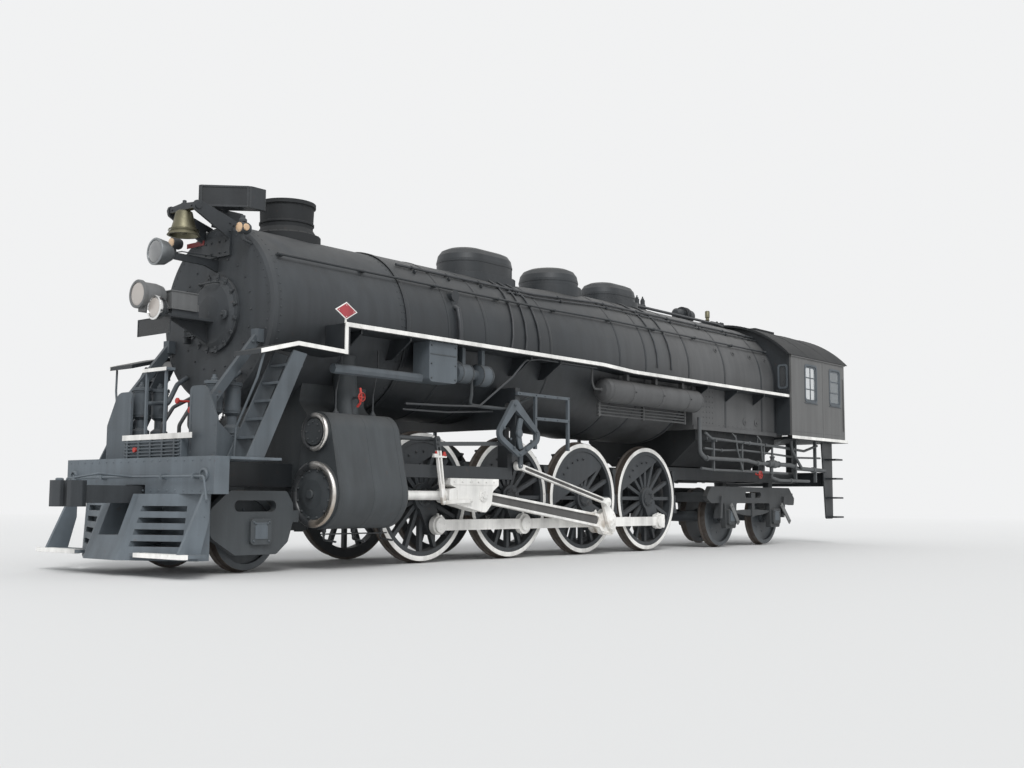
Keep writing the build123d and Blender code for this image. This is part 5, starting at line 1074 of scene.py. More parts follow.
STACK_X = 5.520
STACK_RADIUS = 0.345
stack_trim = Shape()
stack_trim.lathe([(0, STACK_RADIUS + 0.004), (0.006, STACK_RADIUS + 0.016), (0.030, STACK_RADIUS + 0.016), (0.036, STACK_RADIUS + 0.004)],
                 (STACK_X, 0, BOILER_Z + SMOKEBOX_RADIUS + 0.180), (0, 0, 1), 72, closed=True)
for i in range(20):
    t = 2 * math.pi * i / 20
    place = Vector((STACK_X + 0.425 * math.cos(t), 0.425 * math.sin(t), 0))
    place.z = max(BOILER_Z + SMOKEBOX_RADIUS + 0.032, BOILER_Z + math.sqrt(SMOKEBOX_RADIUS ** 2 - place.y ** 2) + 0.030)
    stack_trim.bolt(place, (0, 0, 1), 0.013)
make("stack_trim", stack_trim, "engine", SOOT)

# Whistle on the turret, valve wheels and the generator's bands
brass = Shape()
brass.lathe([(0, 0.030), (0.040, 0.030), (0.050, 0.045), (0.060, 0.045), (0.066, 0.036), (0.100, 0.036), (0.110, 0.048), (0.230, 0.048), (0.245, 0.038), (0.250, 0)],
            (-5.380, 0, BOILER_Z + FIREBOX_RADIUS + 0.085), (0, 0, 1), 28)
make("whistle", brass, "engine", BRONZE)
plant = Shape()
GENERATOR_Z = BOILER_Z + FIREBOX_RADIUS + 0.130
for x in (-4.500, -4.440, -4.385):
    plant.lathe([(0, 0.149), (0, 0.158), (0.014, 0.158), (0.014, 0.149)], (x, 0, GENERATOR_Z), (1, 0, 0), 40, closed=True)
plant.ring_of(Shape.bolt, 10, (-4.460 + 0.082, 0, GENERATOR_Z), (1, 0, 0), 0.128, 0.009)
for x in (-5.560, -5.480, -5.330):
    for y in (0.181, -0.181):
        plant.lathe([(0, 0.012), (0.060, 0.012), (0.062, 0.044), (0.074, 0.044), (0.074, 0)], (x, y, BOILER_Z + FIREBOX_RADIUS + 0.045), (0, math.copysign(1, y), 0), 16)
for i in range(3):
    place = (-2.620 - i * 0.190, 0, BOILER_Z + FIREBOX_RADIUS + 0.232)
    plant.lathe([(0, 0.030), (0.030, 0.030), (0.036, 0.014), (0.070, 0.012), (0.070, 0)], place, (0, 0, 1), 16)
    plant.ring_of(Shape.bolt, 6, (place[0], 0, BOILER_Z + FIREBOX_RADIUS + 0.040), (0, 0, 1), 0.064, 0.008)
make("boiler_top_trim", plant, "engine", BLACK)

# White board edges, risers and the blank red diamond plates
edges = Shape()


def edge_strip(points, height, proud=0.006):
    """White strip on the outer edge of a running board, along points of its top."""
    for (x0, z0), (x1, z1) in zip(points, points[1:]):
        edges.prism([(x0, z0), (x1, z1), (x1, z1 - height), (x0, z0 - height)], "xz", BOARD_EDGE - 0.002, BOARD_EDGE + proud)


STEP_X = 5.800
edge_strip([(STEP_X + 0.038, BOARD_Z + 0.004), (0.450, BOARD_Z + 0.004), (-0.400, BOARD_Z - BOARD_DROP + 0.004), (CAB_FRONT + 0.002, BOARD_Z - BOARD_DROP + 0.004)], 0.054)
edge_strip([(7.096, BOARD_LOW - 0.056), (6.560, BOARD_LOW + 0.084), (STEP_X - 0.012, BOARD_LOW + 0.054)], 0.050)
edges.box(STEP_X - 0.010, STEP_X + 0.038, BOARD_EDGE - 0.012, BOARD_EDGE + 0.0055, BOARD_LOW + 0.004, BOARD_Z + 0.0035)
edges.both_sides()
make("board_edges", edges, "engine", WHITE, 0.0015)
plates = Shape()
borders = Shape()
DIAMOND = (5.830, BOARD_Z + 0.140)
for half, low, high, shape in ((1.0, -0.004, 0.003, borders), (0.86, 0.0, 0.005, plates)):
    x, z = DIAMOND
    outline = [(x - 0.180 * half, z), (x, z - 0.108 * half), (x + 0.180 * half, z), (x, z + 0.108 * half)]
    shape.prism(outline, "xz", BOARD_EDGE + low, BOARD_EDGE + high)
borders.box(DIAMOND[0] - 0.012, DIAMOND[0] + 0.012, BOARD_EDGE - 0.016, BOARD_EDGE - 0.003, BOARD_Z - 0.010, BOARD_Z + 0.200)
for dx, dz in ((-0.120, 0), (0.120, 0), (0, 0.070), (0, -0.070)):
    borders.rivet((DIAMOND[0] + dx, BOARD_EDGE + 0.005, DIAMOND[1] + dz), (0, 1, 0), 0.006)
plates.both_sides()
borders.both_sides()
make("diamond_plates", plates, "engine", SIGN_RED)
make("diamond_borders", borders, "engine", WHITE)


# Smokebox front, lamps and bell

DOOR_BACK = 6.601
DOOR_RIM = 0.045
LAMP_Z = RAIL + 3.230
SHELF_Z = LAMP_Z - 0.230
SHELF_END = 7.400
HEADLIGHT_FRONT = 7.700
HEADLIGHT_Y = -0.020
LOWER_LAMP = (7.610, 0.190, SHELF_Z + 0.060)
UPPER_LAMP = (7.500, 0.0, RAIL + 3.770)
BELL_X = 7.110
BELL_PIVOT = RAIL + 4.370


def lens(shape, front, radius, dome):
    """Slightly domed lens facing forward."""
    x, y, z = front
    profile = [(0, radius), (0.003, radius)]
    profile += [(0.003 + dome * math.sin(math.radians(a)), radius * math.cos(math.radians(a))) for a in (20, 40, 60, 75)]
    return shape.lathe(profile + [(0.003 + dome, 0)], (x, y, z), (1, 0, 0), 40)


def bowl(shape, front, radius, depth):
    """Thin reflector dish behind a lens."""
    steps = [(math.radians(a)) for a in range(90, -1, -15)]
    outer = [(-depth * math.cos(t), radius * math.sin(t)) for t in steps]
    inner = [(u + 0.002, r * 0.985) for u, r in reversed(outer)]
    return shape.lathe(outer + inner, front, (1, 0, 0), 40)


glass = Shape()
bright = Shape()
rims = Shape()
silver = Shape()
head = (HEADLIGHT_FRONT, HEADLIGHT_Y, LAMP_Z)
bowl(bright, (head[0] - 0.008, head[1], head[2]), 0.137, 0.024)
lens(glass, (head[0] - 0.006, head[1], head[2]), 0.139, 0.010)
rims.lathe([(-0.030, 0.165), (-0.030, 0.171), (0.004, 0.171), (0.008, 0.164), (0.008, 0.142), (0.002, 0.139), (-0.004, 0.139)], head, (1, 0, 0), 56, closed=True)
bowl(bright, (LOWER_LAMP[0] - 0.006, *LOWER_LAMP[1:]), 0.114, 0.016)
lens(glass, (LOWER_LAMP[0] - 0.005, *LOWER_LAMP[1:]), 0.117, 0.016)
chrome = Shape()
chrome.lathe([(-0.175, 0.010), (-0.150, 0.083), (-0.080, 0.132), (-0.020, 0.144), (0.002, 0.146), (0.008, 0.140), (0.008, 0.122), (0.002, 0.118), (-0.001, 0.118)],
             LOWER_LAMP, (1, 0, 0), 56)
make("headlight_reflectors", bright, "smokebox_door", REFLECTOR)
make("headlight_glass", glass, "smokebox_door", LAMP_GLASS)
make("headlight_rims", rims, "smokebox_door", LAMP_GREY)
make("lower_lamp_shell", chrome, "smokebox_door", REFLECTOR)
upper_glass = Shape()
upper_bright = Shape()
lens(upper_glass, (UPPER_LAMP[0] - 0.005, 0, UPPER_LAMP[2]), 0.137, 0.022)
bowl(upper_bright, (UPPER_LAMP[0] - 0.006, 0, UPPER_LAMP[2]), 0.134, 0.020)
silver.lathe([(-0.233, 0.010), (-0.219, 0.083), (-0.130, 0.144), (-0.022, 0.164), (0.002, 0.166), (0.008, 0.160), (0.008, 0.141), (0.002, 0.137), (-0.002, 0.137)],
             UPPER_LAMP, (1, 0, 0), 56)
make("upper_lamp_glass", upper_glass, "engine", UPPER_GLASS)
make("upper_lamp_reflector", upper_bright, "engine", REFLECTOR)
make("upper_lamp_shell", silver, "engine", SILVER)

# Door: clamps round the rim, hinge bolts, grab rail, blank plate's border and lamp wiring
door = Shape()
for i in range(16):
    t = 2 * math.pi * (i + 0.5) / 16
    if abs(math.cos(t)) > 0.93 and math.cos(t) < 0:
        continue
    out = Vector((0, math.cos(t), math.sin(t)))
    side_way = Vector((0, -math.sin(t), math.cos(t)))
    place = Vector((DOOR_BACK + DOOR_RIM, 0, BOILER_Z)) + out * 0.452
    corners = []
    for lift in (0.0, 0.016):
        for along, across in ((-0.034, -0.024), (0.050, -0.016), (0.050, 0.016), (-0.034, 0.024)):
            corners.append(place + out * along + side_way * across + Vector((lift, 0, 0)))
    door.add(corners, [(0, 1, 2, 3), (7, 6, 5, 4), (0, 4, 5, 1), (1, 5, 6, 2), (2, 6, 7, 3), (3, 7, 4, 0)])
    door.bolt(place + Vector((0.015, 0, 0)), (1, 0, 0), 0.014)
for z in (BOILER_Z - 0.220, BOILER_Z + 0.220):
    for y in (-0.460, -0.400, -0.340):
        door.bolt((DOOR_BACK + DOOR_RIM + 0.024, y, z), (1, 0, 0), 0.011)
    door.bolt((6.660, -0.540, z + 0.108), (0, 0, 1), 0.016)
door.tube([(6.690, -0.180, BOILER_Z + 0.370), (6.760, -0.180, BOILER_Z + 0.370), (6.760, 0.180, BOILER_Z + 0.370), (6.690, 0.180, BOILER_Z + 0.370)], 0.012, 8, 0.03)
door.lathe([(0, 0.060), (0.020, 0.060), (0.028, 0.050), (0.028, 0.020), (0.060, 0.018), (0.060, 0)], (6.718, 0.330, BOILER_Z - 0.050), (1, 0, 0), 20)
make("door_fittings", door, "smokebox_door", GRAPHITE, 0.001)
plate = Shape()
PLATE_LOW, PLATE_HIGH = SHELF_Z - 0.215, SHELF_Z - 0.006
PLATE_Y = (-0.460, 0.215)
RIM = 0.012
plate.box(SHELF_END - 0.006, SHELF_END + 0.002, *PLATE_Y, PLATE_LOW, PLATE_HIGH)
make("blank_plate", plate, "smokebox_door", BOARD_BLACK, 0.001)
plate = Shape()
for y0, y1, z0, z1 in ((*PLATE_Y, PLATE_LOW, PLATE_LOW + RIM), (*PLATE_Y, PLATE_HIGH - RIM, PLATE_HIGH),
                       (PLATE_Y[0], PLATE_Y[0] + RIM, PLATE_LOW + RIM, PLATE_HIGH - RIM), (PLATE_Y[1] - RIM, PLATE_Y[1], PLATE_LOW + RIM, PLATE_HIGH - RIM)):
    plate.box(SHELF_END + 0.001, SHELF_END + 0.006, y0, y1, z0, z1)
for y in (PLATE_Y[0] + 0.030, PLATE_Y[1] - 0.030):
    for z in (PLATE_LOW + 0.030, PLATE_HIGH - 0.030):
        plate.rivet((SHELF_END + 0.001, y, z), (1, 0, 0), 0.008)
make("blank_plate_border", plate, "smokebox_door", GRAPHITE)
casing = Shape()
casing.box(6.970, 7.335, -0.175, 0.135, SHELF_Z + 0.090, LAMP_Z + 0.075)
casing.box(6.960, 7.345, -0.185, 0.145, LAMP_Z + 0.070, LAMP_Z + 0.084)
for z in (SHELF_Z + 0.120, LAMP_Z + 0.045):
    for x in (7.000, 7.100, 7.205, 7.305):
        casing.rivet((x, 0.134, z), (0, 1, 0), 0.007)
        casing.rivet((x, -0.174, z), (0, -1, 0), 0.007)
make("lamp_box", casing, "smokebox_door", LAMP_GREY, 0.003)
shelf_paint = painted("headlight_paint", (0.140, 0.144, 0.146), 0.5, worn=(0.3, 0.3, 0.3))
p = Paint(material=shelf_paint)
x, _, z = p.axes()
p.recolor(p.math("MULTIPLY", p.span(x, 7.318, 7.322, 1.0, 0.0), p.span(z, LAMP_Z - 0.132, LAMP_Z - 0.128, 1.0, 0.0)), (0.045, 0.050, 0.056))
dress("headlight", shelf_paint)

# Bell: rings and clapper swing with it, bolts and straps stay on the stand
bell_finish = bare_metal("bell_and_yoke", (0.20, 0.188, 0.130), 0.48, (0.11, 0.105, 0.08), 0.7)
p = Paint(material=bell_finish)
above = p.span(p.axes()[2], BELL_PIVOT - 0.036, BELL_PIVOT - 0.032)
p.recolor(above, (0.030, 0.033, 0.036))
p.put(p.shader.inputs["Metallic"], p.math("SUBTRACT", 1.0, above))
dress("bell", bell_finish)
bell_trim = Shape()
MOUTH_Z = BELL_PIVOT - 0.340
for z, radius in ((MOUTH_Z + 0.052, 0.184), (MOUTH_Z + 0.066, 0.177)):
    bell_trim.lathe([(0, radius - 0.004), (0.002, radius + 0.003), (0.006, radius + 0.003), (0.008, radius - 0.004)], (BELL_X, 0, z), (0, 0, 1), 40, closed=True)
bell_trim.lathe([(0, 0.010), (0.100, 0.012), (0.110, 0.034), (0.135, 0.045), (0.160, 0.034), (0.170, 0)], (BELL_X, 0, MOUTH_Z + 0.180), (0, 0, -1), 18)
make("bell_rings", bell_trim, "bell", BRONZE)
yoke = Shape()
yoke.lathe([(0, 0.040), (0.016, 0.040), (0.022, 0.026), (0.050, 0.024), (0.060, 0)], (BELL_X, 0, BELL_PIVOT + 0.046), (0, 0, 1), 16)
for side in SIDES:
    yoke.bolt((BELL_X + 0.040, side * 0.200, BELL_PIVOT), (1, 0, 0), 0.014)
make("bell_yoke_bolts", yoke, "bell", BLACK)
stand = Shape()
for side in SIDES:
    axis = (0, side, 0)
    stand.lathe([(0, 0.050), (0.012, 0.050), (0.016, 0.040), (0.016, 0.028)], (BELL_X, side * 0.285, BELL_PIVOT), axis, 24)
    for x, z in ((6.560, RAIL + 4.200), (6.640, RAIL + 4.130), (6.640, RAIL + 4.230)):
        stand.bolt((x, side * 0.284, z), axis, 0.014)
    for y in (0.080, 0.200):
        for z in (RAIL + 3.880, RAIL + 4.020):
            stand.bolt((6.640, side * y, z), (1, 0, 0), 0.014)
stand.tube([(7.300, 0.0, UPPER_LAMP[2] + 0.010), (7.150, 0.040, UPPER_LAMP[2] + 0.050), (6.660, 0.060, UPPER_LAMP[2] + 0.060)], 0.008, 6)
make("bell_stand_bolts", stand, "engine", BLACK)

# Frame and blank faces of the number board
board = Shape()
faces = Shape()
NOSE_X = 6.900
BOARD_LOW_Z, BOARD_HIGH_Z = RAIL + 4.440, RAIL + 4.710
for side in SIDES:
    along = Vector((-1, side, 0)).normalized()
    out = Vector((1, side, 0)).normalized()
    nose = Vector((NOSE_X, 0, 0))

    def corner(u, z, w):
        return nose + along * u + out * w + Vector((0, 0, z))

    def slab(shape, u0, u1, z0, z1, w0, w1):
        points = [corner(u, z, w) for u in (u0, u1) for z in (z0, z1) for w in (w0, w1)]
        shape.add(points, [(0, 1, 3, 2), (4, 6, 7, 5), (0, 4, 5, 1), (2, 3, 7, 6), (0, 2, 6, 4), (1, 5, 7, 3)])

    end = 0.604
    slab(board, 0.012, end, BOARD_LOW_Z, BOARD_LOW_Z + 0.024, -0.004, 0.012)
    slab(board, 0.012, end, BOARD_HIGH_Z - 0.024, BOARD_HIGH_Z, -0.004, 0.012)
    slab(board, 0.012, 0.036, BOARD_LOW_Z + 0.024, BOARD_HIGH_Z - 0.024, -0.004, 0.012)
    slab(board, end - 0.024, end, BOARD_LOW_Z + 0.024, BOARD_HIGH_Z - 0.024, -0.004, 0.012)
    slab(faces, 0.034, end - 0.022, BOARD_LOW_Z + 0.022, BOARD_HIGH_Z - 0.022, -0.003, 0.003)
    for u in (0.024, 0.310, end - 0.012):
        for z in (BOARD_LOW_Z + 0.012, BOARD_HIGH_Z - 0.012):
            board.rivet(corner(u, z, 0.011), out, 0.006)
make("number_board_frames", board, "engine", BLACK)
make("number_board_faces", faces, "engine", BOARD_BLACK)

# Marker lamps on the smokebox shoulders
markers = Shape()
marker_glass = Shape()
MARKER = Vector((6.760, 0.700, RAIL + 4.090))
for side in SIDES:
    place = Vector((MARKER.x, side * MARKER.y, MARKER.z))
    markers.lathe([(-0.090, 0), (-0.090, 0.060), (-0.060, 0.074), (0.040, 0.074), (0.050, 0.066)], place, (1, 0, 0), 28)
    markers.lathe([(0.070, 0.050), (0.100, 0.050), (0.120, 0.030), (0.150, 0.030), (0.160, 0)], place, (0, 0, 1), 20)
    markers.tube([place - Vector((0, 0, 0.070)), place - Vector((0.02, 0, 0.140)), place - Vector((0.180, side * 0.030, 0.170))], 0.018, 8, 0.03)
    marker_glass.lathe([(0.046, 0.062), (0.060, 0.058), (0.072, 0.036), (0.076, 0)], place, (1, 0, 0), 24)
    marker_glass.lathe([(0.070, 0.044), (0.084, 0.038), (0.090, 0)], place, (0, side, 0), 20)
make("marker_lamps", markers, "engine", GRAPHITE)
make("marker_glass", marker_glass, "engine", MARKER_GLASS)

# Small dark red plate on the bell stand's foot
tag = Shape()
tag.box(6.640, 6.652, -0.590, -0.230, RAIL + 4.020, RAIL + 4.080)
for y in (-0.560, -0.260):
    tag.rivet((6.651, y, RAIL + 4.050), (1, 0, 0), 0.008)
make("stand_plate", tag, "engine", DARK_RED, 0.001)

# Front deck: white bar and step edge, cooler pipes, shield frames, pump trim
DECK_Z = RAIL + 1.300
white = Shape()
white.box(7.446, 7.462, -0.615, 0.790, RAIL + 1.522, RAIL + 1.588)
white.box(7.449, 7.456, -0.250, 0.245, RAIL + 2.330, RAIL + 2.374)
for side in SIDES:
    outline = [(7.960, side * 0.602), (8.036, side * 0.602), (8.036, side * 1.452), (8.018, side * 1.506), (7.964, side * 1.524), (7.960, side * 1.500),
               (8.006, side * 1.488), (8.022, side * 1.446), (8.022, side * 0.616), (7.960, side * 0.616)]
    white.prism(outline, "xy", RAIL + 0.190, RAIL + 0.240)
    white.box(7.900, 8.020, *sorted((side * 0.630, side * 1.440)), RAIL + 0.234, RAIL + 0.238)
make("white_step_edges", white, "engine", WHITE, 0.002)

cooler = Shape()
for i in range(5):
    z = DECK_Z + 0.035 + i * 0.040
    cooler.tube([(7.450, -0.560, z), (7.466, -0.540, z), (7.466, 0.540, z), (7.450, 0.560, z)], 0.012, 6)
for y in (-0.48, -0.24, 0.0, 0.24, 0.48):
    cooler.box(7.448, 7.480, y - 0.012, y + 0.012, DECK_Z + 0.010, DECK_Z + 0.220)
for side in SIDES:
    for i in range(7):
        cooler.rivet((7.359, side * 0.640, DECK_Z + 0.070 + i * 0.110), (1, 0, 0), 0.010)
    for i in range(4):
        cooler.rivet((7.359, side * 1.090, DECK_Z + 0.060 + i * 0.100), (1, 0, 0), 0.010)
    frame_y = sorted((side * 0.604, side * 0.640))
    cooler.box(7.358, 7.366, *frame_y, DECK_Z + 0.010, RAIL + 2.050)
    # Stay and thin rod beside the shields, handrail of the ladder
    cooler.tube([(7.200, side * 0.800, RAIL + 2.000), (7.210, side * 0.822, RAIL + 1.600), (7.200, side * 0.846, DECK_Z - 0.010)], 0.012, 8)
    cooler.tube([(7.020, side * 1.500, RAIL + 2.480), (7.060, side * 1.440, RAIL + 2.200), (7.150, side * 1.200, RAIL + 1.640), (7.165, side * 1.195, DECK_Z - 0.005)],
                0.014, 8, 0.06)
    for x, z in ((6.680, RAIL + 2.740), (6.740, RAIL + 2.690), (7.230, RAIL + 2.010), (7.290, RAIL + 1.960)):
        cooler.bolt((x, side * 0.930, z), (0, side, 0), 0.018)
make("deck_trim", cooler, "engine", SLATE, 0.001)

pump = Shape()
for side in SIDES:
    for x in (6.870, 7.130):
        centre = Vector((x, side * 0.740, 0))
        for i in range(8):
            z = DECK_Z + 0.070 + i * 0.032
            pump.lathe([(0, 0.104), (0, 0.119), (0.010, 0.119), (0.010, 0.104)], centre + Vector((0, 0, z)), (0, 0, 1), 28, closed=True)
        for z in (DECK_Z + 0.036, DECK_Z + 0.895):
            pump.ring_of(Shape.bolt, 8, centre + Vector((0, 0, z)), (0, 0, 1), 0.103, 0.009)
        for z in (DECK_Z + 0.560, DECK_Z + 0.835):
            pump.lathe([(0, 0.099), (0, 0.106), (0.016, 0.106), (0.016, 0.099)], centre + Vector((0, 0, z)), (0, 0, 1), 32, closed=True)
        pump.lathe([(0, 0.040), (0.030, 0.040), (0.040, 0.025), (0.070, 0.022), (0.070, 0)], centre + Vector((0, 0, DECK_Z + 0.905)), (0, 0, 1), 16)
    pump.tube([(6.870, side * 0.640, DECK_Z + 0.700), (6.870, side * 0.560, DECK_Z + 0.720), (6.760, side * 0.540, DECK_Z + 0.960), (6.620, side * 0.540, RAIL + 2.360)], 0.030, 10, 0.08)
    pump.tube([(7.130, side * 0.640, DECK_Z + 0.700), (7.130, side * 0.560, DECK_Z + 0.700), (6.870, side * 0.560, DECK_Z + 0.720)], 0.026, 10, 0.08)
    pump.tube([(6.870, side * 0.850, DECK_Z + 0.200), (6.870, side * 0.900, DECK_Z + 0.220), (6.870, side * 0.920, DECK_Z + 0.010)], 0.022, 8, 0.05)
make("pump_trim", pump, "engine", SLATE)
red = Shape()
for x, y, z, size in ((7.220, 0.163, RAIL + 1.990, 0.036), (7.220, 0.430, RAIL + 1.870, 0.042)):
    red.lathe([(0, size), (0.020, size), (0.026, size * 0.8), (0.026, 0)], (x, y, z), (1, 0, 0), 20)
    red.lathe([(-0.160, 0.014), (0, 0.014)], (x, y, z), (1, 0, 0), 8)
red.tube([(5.320, 1.220, RAIL + 1.990), (5.320, 1.270, RAIL + 2.035), (5.322, 1.285, RAIL + 2.150), (5.324, 1.270, RAIL + 2.225)], 0.016, 8, 0.04)
red.lathe([(-0.012, 0.052), (-0.006, 0.060), (0.006, 0.060), (0.012, 0.052)], (5.322, 1.300, RAIL + 2.110), (0, 1, 0), 24, closed=True)
red.tube([(5.322, 1.300, RAIL + 2.052), (5.322, 1.300, RAIL + 2.168)], 0.007, 6)
red.tube([(5.264, 1.300, RAIL + 2.110), (5.380, 1.300, RAIL + 2.110)], 0.007, 6)
red.lathe([(0, 0.030), (0.040, 0.030), (0.040, 0)], (7.455, -0.305, RAIL + 1.407), (1, 0, 0), 16)
make("red_valve_handles", red, "engine", RED)
lines = Shape()
lines.tube([(7.060, 0.163, RAIL + 1.990), (7.060, 0.163, RAIL + 1.700), (7.060, 0.300, RAIL + 1.550), (7.060, 0.300, DECK_Z - 0.010)], 0.020, 8, 0.06)
lines.tube([(7.060, 0.430, RAIL + 1.870), (7.060, 0.430, DECK_Z - 0.010)], 0.020, 8)
lines.tube([(5.322, 1.285, RAIL + 2.110), (5.322, 1.140, RAIL + 2.110), (5.322, 1.140, RAIL + 1.880)], 0.018, 8, 0.04)
for y, x in ((-0.300, 7.120), (-0.120, 7.000), (0.060, 6.900)):
    lines.tube([(x, y, DECK_Z - 0.010), (x, y, RAIL + 1.720), (x - 0.150, y, RAIL + 1.950), (6.640, y, RAIL + 2.120)], 0.024, 8, 0.10)
    lines.lathe([(0, 0.040), (0.050, 0.040)], (x, y, RAIL + 1.500), (0, 0, 1), 12)
make("front_pipes", lines, "engine", PIPE)

# Pilot and beam: rivets, poling pockets, uncoupling rod, coupler pin and lift arm
beam = Shape()
BEAM_X = 7.650
for i in range(19):
    y = -1.420 + i * 2.840 / 18
    for z in (RAIL + 0.925, RAIL + 1.262):
        beam.rivet((BEAM_X - 0.001, y, z), (1, 0, 0), 0.014)
for side in SIDES:
    beam.lathe([(0, 0.075), (0.020, 0.075), (0.030, 0.068), (0.030, 0.052), (0.006, 0.046), (0.004, 0)], (BEAM_X - 0.002, side * 1.330, RAIL + 1.095), (1, 0, 0), 32)
    for x, z in ((7.640, RAIL + 0.800), (7.660, RAIL + 0.640)):
        beam.rivet((x, side * 1.371, z), (0, side, 0), 0.012)
    beam.tube([(BEAM_X + 0.060, side * 0.260, RAIL + 1.080), (BEAM_X + 0.060, side * 1.400, RAIL + 1.080), (BEAM_X + 0.060, side * 1.460, RAIL + 0.820)], 0.014, 8, 0.05)
    for y in (0.600, 1.200):
        beam.box(BEAM_X - 0.002, BEAM_X + 0.084, min(side * y, side * (y + 0.030)), max(side * y, side * (y + 0.030)), RAIL + 1.050, RAIL + 1.110)
beam.tube([(BEAM_X + 0.060, -0.260, RAIL + 1.080), (BEAM_X + 0.060, 0.260, RAIL + 1.080)], 0.014, 8)
beam.tube([(BEAM_X + 0.060, 0.030, RAIL + 1.080), (8.150, 0.030, RAIL + 1.110), (8.420, 0.000, RAIL + 1.060)], 0.012, 8, 0.04)
beam.lathe([(0, 0.045), (0.020, 0.045), (0.030, 0.030), (0.030, 0)], (8.520, -0.130, RAIL + 1.028), (0, 0, 1), 20)
beam.lathe([(0, 0.030), (0.014, 0.030), (0.018, 0.018), (0.018, 0)], (8.420, 0.0, RAIL + 1.028), (0, 0, 1), 16)
# Beam trim in the lighter slate of painted light
make("beam_trim", beam, "engine", DECK_LIT_SLATE, 0.001)


# Cab: window frames and glass, rivet rows, gutter, rails, stripe, roof ribs

CAB_BACK = -8.300
CAB_HALF = 1.600
CAB_WALL = 0.040
FLOOR_Z = RAIL + 2.130
LID_FACE = 1.105
EAVE_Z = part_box("cab_sides")[1].z
SILL_Z = RAIL + 2.860
HEAD_Z = RAIL + 3.560
WINDOWS = ((-6.950, -6.470), (-8.060, -7.600))
ROOF_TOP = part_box("cab_roof")[1].z - 0.035


def ring_outline(x0, x1, z0, z1, corner, steps=5):
    """Rectangle with rounded corners, in the side view."""
    out = []
    for cx, cz, start in ((x1 - corner, z1 - corner, 0), (x0 + corner, z1 - corner, 90), (x0 + corner, z0 + corner, 180), (x1 - corner, z0 + corner, 270)):
        for i in range(steps + 1):
            t = math.radians(start + 90 * i / steps)
            out.append((cx + corner * math.cos(t), cz + corner * math.sin(t)))
    return out


def frame_ring(shape, outer, inner, low, high):
    """Flat ring between two outlines with the same count of points, standing from low to high across the engine."""
    n = len(outer)
    points = [(a, y, b) for y in (low, high) for ring in (outer, inner) for a, b in ring]
    faces = []
    for i in range(n):
        j = (i + 1) % n
        faces += [(i, j, n + j, n + i), (2 * n + i, 3 * n + i, 3 * n + j, 2 * n + j)]
        faces += [(i, 2 * n + i, 2 * n + j, j), (n + i, n + j, 3 * n + j, 3 * n + i)]
    return shape.add(points, faces)


sashes = Shape()
panes = Shape()
for x0, x1 in WINDOWS:
    outer = ring_outline(x0 - 0.038, x1 + 0.038, SILL_Z - 0.038, HEAD_Z + 0.038, 0.080)
    inner = ring_outline(x0 + 0.030, x1 - 0.030, SILL_Z + 0.030, HEAD_Z - 0.030, 0.055)
    frame_ring(sashes, outer, ring_outline(x0 - 0.002, x1 + 0.002, SILL_Z - 0.002, HEAD_Z + 0.002, 0.060), CAB_HALF - 0.001, CAB_HALF + 0.010)
    hole = ring_outline(x0 + 0.001, x1 - 0.001, SILL_Z + 0.001, HEAD_Z - 0.001, 0.004)
    frame_ring(sashes, hole, inner, CAB_HALF - CAB_WALL + 0.002, CAB_HALF - 0.004)
    middle_z = (SILL_Z + HEAD_Z) / 2
    panes.box(x0 + 0.026, x1 - 0.026, CAB_HALF - 0.016, CAB_HALF - 0.012, SILL_Z + 0.026, HEAD_Z - 0.026)
    bars = ((x0 + x1) / 2,) if x0 > -7.5 else ()
    for x in bars:
        sashes.box(x - 0.011, x + 0.011, CAB_HALF - 0.022, CAB_HALF - 0.006, SILL_Z + 0.029, HEAD_Z - 0.029)
    for i in (1, 2):
        z = SILL_Z + (HEAD_Z - SILL_Z) * i / 3
        sashes.box(x0 + 0.029, x1 - 0.029, CAB_HALF - 0.0215, CAB_HALF - 0.0065, z - 0.011, z + 0.011)
    # Arm rest and sill
    sashes.prism([(CAB_HALF - 0.002, SILL_Z - 0.040), (CAB_HALF + 0.016, SILL_Z - 0.044), (CAB_HALF + 0.016, SILL_Z - 0.056), (CAB_HALF - 0.002, SILL_Z - 0.060)],
                 "yz", x0 - 0.050, x1 + 0.050)
FRONT_WINDOW = (1.330, 1.500, RAIL + 3.080, RAIL + 3.520)
y0, y1, z0, z1 = FRONT_WINDOW
front = Shape()
frame_ring(front, ring_outline(y0 - 0.024, y1 + 0.024, z0 - 0.024, z1 + 0.024, 0.060), ring_outline(y0 + 0.014, y1 - 0.014, z0 + 0.014, z1 - 0.014, 0.034), 0, 0.010)
front.points = [(CAB_FRONT + u - 0.001, a, b) for a, u, b in front.points]
sashes.add(front.points, front.faces)
front_panes = Shape().box(CAB_FRONT - 0.014, CAB_FRONT - 0.010, y0 + 0.008, y1 - 0.008, z0 + 0.008, z1 - 0.008).both_sides()
sashes.both_sides()
panes.both_sides()
make("cab_window_frames", sashes, "engine", SLATE, 0.0015)
make("cab_window_panes", panes, "engine", WINDOW_GLASS)
make("cab_front_panes", front_panes, "engine", DARK_GLASS)

stripe = Shape()
stripe.box(CAB_BACK - 0.148, CAB_FRONT - 0.002, CAB_HALF - 0.001, CAB_HALF + 0.004, FLOOR_Z - 0.056, FLOOR_Z + 0.004)
stripe.both_sides()
make("cab_stripe", stripe, "engine", WHITE, 0.001)

